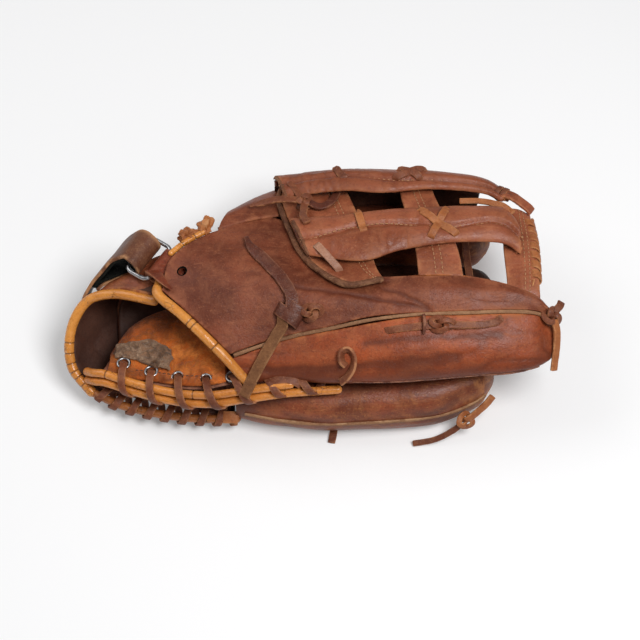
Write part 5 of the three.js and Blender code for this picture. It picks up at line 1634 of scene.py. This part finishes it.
# Painted shade: the skirt's inner face takes the near-black pocket finish.
skirt_lining = sheet_piece("web_far_skirt_lining", skirt_inside, LINING, worn=0.0)
ride(skirt_lining, SHADED_POCKET_LEATHER, "web", "finger_side")
bend(sheet_piece("crotch_panel", crotch, SHELL), BACK_LEATHER, "shell", CROTCH_SPAN, "crotch_panel")

# Laces of the web


def pierced(panel, places):
    """The way of a lace that comes out of the leather, lies on it and goes in again."""
    (u0, v0), (u1, v1) = places[0], places[-1]
    points = on(panel, (u0, v0, -2.5), (0.97 * u0 + 0.03 * u1, 0.97 * v0 + 0.03 * v1, 0.2))
    points += on(panel, *((u, v, LACE_LIFT) for u, v in places[1:-1]))
    return points + on(panel, (0.03 * u0 + 0.97 * u1, 0.03 * v0 + 0.97 * v1, 0.2), (u1, v1, -2.5))


# Shares u and v of the post where each lace comes out, lies and goes in again
NEAR_LACES = {
    "web_cross_lace": [(0.82, 0.53), (0.64, 0.555), (0.48, 0.58), (0.32, 0.605), (0.16, 0.63)],
    "web_cross_lace_over": [(0.82, 0.63), (0.64, 0.605), (0.48, 0.58), (0.32, 0.555), (0.16, 0.53)],
    "web_lace_1": [(0.97, 0.232), (0.86, 0.234), (0.75, 0.236), (0.65, 0.238), (0.55, 0.24)],
}
FAR_LACES = {
    "web_lace_3": [(0.64, 0.19), (0.57, 0.196), (0.48, 0.205), (0.4, 0.213), (0.33, 0.22)],
    "web_lace_4": [(0.66, 0.43), (0.59, 0.455), (0.52, 0.48), (0.45, 0.505), (0.38, 0.53)],
    "web_lace_4_over": [(0.4, 0.43), (0.45, 0.455), (0.52, 0.48), (0.59, 0.505), (0.64, 0.53)],
}
LACE_UP = (0, -0.3, 1)


def lace_post(panel, laces, seeds, finish, body):
    """The laces of a post. The second run of a cross has no solid of its own."""
    for (name, places), seed in zip(laces.items(), seeds):
        nodes = [] if name.endswith("over") else [name]
        lay_lace(name, pierced(panel, places), LACE_UP, finish, body, *nodes, seed=seed)


lace_post(near_post, NEAR_LACES, (171, 173, 175), ORANGE_LACE, "thumb_side")
lace_post(far_post, FAR_LACES, (177, 179, 180), LACE_LEATHER, "finger_side")
DIAGONAL = [
    *on(near_post, (0.24, 0.045, -2.5), (0.2, 0.048, 1.0)),
    *on(web_base, (0.26, 0.79, 1.4), (0.28, 0.81, -2.5)),
]
lay_lace("web_lace_2", DIAGONAL, LACE_UP, PALE_LACE, "thumb_side", "web_lace_2", seed=181)
TIP_THONG = [[131, 54, 92], [125, 61.6, 89.5], [119, 63.8, 89], [112, 66, 88.2], [104, 67.2, 87],
             [96, 67.6, 86]]
free_lace("web_tip_thong", TIP_THONG, LACE_UP, "thumb_side", ORANGE_LACE, LACE_WIDTH - 1.2, seed=182,
          nodes=("web_tip_thong",))
wind_coil("web_tip_coil", (126.5, 75.4, 83.6), (1, -0.45, -0.1), (0.2, 0.45, 0.87), radii=(4.2, 3.2),
          turns=2.2, pitch=4.2, width=3.6, seed=184, finish=LACE_LEATHER, body="finger_side")
TIP_FOLD = [[125.5, 73.6, 85.8], [129, 72.6, 86.6], [134, 70.4, 85.8], [139, 67.4, 83.8], [143.5, 64.4, 82],
            [145.5, 62.6, 80]]
fold_line = line_through(TIP_FOLD, 1.0)
tip_fold = sweep_piece("web_tip_fold", fold_line, (0, 0.3, 1), 7.5, 2.4, 6, 24, "cut", wear=0.3, seed=186)
ride(tip_fold, WEB_FINISH, "web", "finger_side")
base_knot_at = on(web_base, (0.31, 0.285, KNOT_LIFT + 2.0))[0]
BASE_LEFT = [base_knot_at + [-2, 0.5, 0.5], [-22, 68.5, 87], [-31, 68.5, 86.2], [-40, 67, 84.5],
             [-48, 65.5, 83.2]]
BASE_RIGHT = [
    base_knot_at + [2, 0, 0.5],
    *on(web_base, (0.5, 0.315, LACE_LIFT + 1.5), (0.66, 0.29, LACE_LIFT + 1), (0.78, 0.235, LACE_LIFT + 0.6),
        (0.83, 0.2, LACE_LIFT + 0.4)),
]
BASE_DOWN = [
    base_knot_at + [0.5, -2, 1],
    *on(near_post, (0.97, 0.045, LACE_LIFT + 1.4), (0.84, 0.04, LACE_LIFT + 0.6),
        (0.7, 0.042, LACE_LIFT + 0.4)),
]
BASE_UP = [base_knot_at + [-2, 2, 0.5], [-17, 78, 84.5], [-21, 84, 84]]
tie_knot("web_base_knot", base_knot_at, (1, 0.2, 0), (-0.1, -0.1, 1), (4.6, 4.2, 3.0), 4.4, 183,
         LACE_LEATHER, "thumb_side", "web_base_tie")
free_lace("web_base_tail_left", BASE_LEFT, (0, 0.1, 1), "thumb_side", LACE_LEATHER, waist=tail_taper,
          seed=185)
lay_lace("web_base_tail_right", BASE_RIGHT, (0, 0.1, 1), DARK_LACE, "thumb_side", seed=187)
lay_lace("web_base_tail_down", BASE_DOWN, (0, -0.2, 1), LACE_LEATHER, "thumb_side", seed=188)
lay_lace("web_base_tail_up", BASE_UP, (0, 0.1, 1), LACE_LEATHER, "thumb_side", width=LACE_WIDTH - 0.8,
         seed=189)

# Rows of stitches: one stitch is modelled, and copied along each line

STITCH_HALF_SIZES = (1.25, 0.42, 0.4)
STITCH_LIFT = 0.15


def lay_down():
    bpy.ops.transform.rotate(value=math.pi / 2, orient_axis="Y", center_override=(0, 0, 0))


def draw_out():
    bpy.ops.transform.resize(value=STITCH_HALF_SIZES)


def model_stitch():
    """One stitch along X, in millimetres: its points and faces."""
    bpy.ops.mesh.primitive_uv_sphere_add(segments=8, ring_count=5, radius=1)
    stitch = bpy.context.object
    edit(stitch, lay_down, draw_out)
    points = np.array([v.co for v in stitch.data.vertices])
    faces = [tuple(p.vertices) for p in stitch.data.polygons]
    bpy.data.objects.remove(stitch)
    return points, faces


STITCH_POINTS, STITCH_FACES = model_stitch()


def stitch_piece(name, lines):
    """Copies of the stitch along lines of points with the ways that they face."""
    points = []
    faces = []
    for line, out in lines:
        joined = evenly(np.hstack([line, out]), STITCH_PITCH)
        spots, facing = joined[:, :3], unit(joined[:, 3:])
        along = unit(np.gradient(spots, axis=0))
        across = unit(np.cross(facing, along))
        facing = np.cross(along, across)
        for i in range(len(spots)):
            turned = STITCH_POINTS @ np.array([along[i], across[i], facing[i]])
            faces += [tuple(k + len(points) * len(STITCH_POINTS) for k in face) for face in STITCH_FACES]
            points.append(spots[i] + STITCH_LIFT * facing[i] + turned)
    mesh = bpy.data.meshes.new(name)
    mesh.from_pydata(place(np.concatenate(points)).tolist(), [], faces)
    piece = bpy.data.objects.new(name, mesh)
    bpy.context.scene.collection.objects.link(piece)
    edit(piece, face_out)
    soften(piece, 80)
    return piece


def seam_line(panel, places):
    """A line over a panel through shares u and v, with the ways that it faces."""
    path = catmull(np.array(places, float), np.linspace(0, 1, 60))
    return panel.at(path[:, 0], path[:, 1])


def beside(line, offset):
    """The same line, moved sideways on its surface."""
    points, out = line
    along = unit(np.gradient(points, axis=0))
    return points + offset * np.cross(out, along), out


near_seam = seam_line(near_post, NEAR_VALLEY)
near_rows = [beside(near_seam, offset) for offset in (-1.3, 1.3)]
ride(stitch_piece("near_post_stitches", near_rows), TAN_THREAD, "welt", "thumb_side")
far_seam = seam_line(far_post, FAR_VALLEY)
far_rows = [beside(far_seam, offset) for offset in (-1.2, 1.2)]
ride(stitch_piece("far_post_stitches", far_rows), TAN_THREAD, "welt", "finger_side")
base_rows = [seam_line(web_base, [(u, 0.04), (u, 0.5), (u, 0.97)]) for u in (0.72, 0.8)]
bend(stitch_piece("web_base_stitches", base_rows), TAN_THREAD, "welt", BASE_SPAN)
bar_rows = [seam_line(crossbar, [(u, 0.04), (u, 0.5), (u, 0.96)]) for u in (0.42, 0.58)]
bend(stitch_piece("crossbar_stitches", bar_rows), TAN_THREAD, "welt", BAR_SPAN)
top_rows = [seam_line(top_bar, [(u, 0.03), (u + 0.07, 0.5), (u, 0.97)]) for u in (0.5, 0.64)]
ride(stitch_piece("top_bar_stitches", top_rows), TAN_THREAD, "welt", "thumb_side")
suede_rows = [seam_line(lining_panel, [(0.065, 0.3), (0.06, 0.5), (0.065, 0.76)])]
ride(stitch_piece("lining_stitches", suede_rows), DARK_THREAD, "welt", "thumb_side")

# Scraps of binding along the back panel's far edge

SCRAP_LINE = [[-101, 27, 83.5], [-92, 36, 83], [-78, 46, 82]]
bind_edge("back_binding", SCRAP_LINE, EDGE_BINDING_RADIUS, (0.35, 0.7), 191, PIPING, "thumb_side")


def scrap_piece(name, centre, size, seed):
    """A frayed end of binding: a crumpled, torn lump."""
    bpy.ops.mesh.primitive_ico_sphere_add(subdivisions=5, radius=1)
    piece = bpy.context.object
    piece.name = name
    piece.data.name = name
    ball = np.array([v.co for v in piece.data.vertices])
    points = ball * size
    torn = 0.45 * mottle(points, 3.2, seed) + 0.3 * folds(points, (2.5, 2.5, 2.5), seed + 1)
    points = points * (1 + torn)[:, None]
    piece.data.vertices.foreach_set("co", place(points + centre).astype(np.float32).ravel())
    piece.data.update()
    # Painted shade in the torn hollows.
    mask(piece, "crease_and_shade", ramp(torn, 0.05, -0.35))
    mask(piece, "edge", ramp(torn, 0.2, 0.5))
    soften(piece, 60)
    return piece


# Middle and half sizes of each scrap
SCRAPS = [
    ((-91.5, 42.0, 82.5), (5.0, 4.4, 3.4)),
    ((-78.5, 50.0, 82.0), (4.6, 6.0, 3.6)),
    ((-85.0, 45.0, 81.5), (4.0, 2.2, 2.0)),
]
for i, (centre, size) in enumerate(SCRAPS):
    scrap = scrap_piece(f"back_scrap_{i + 1}", np.array(centre), np.array(size), 193 + 3 * i)
    ride(scrap, ORANGE_LACE, "piping", "thumb_side")
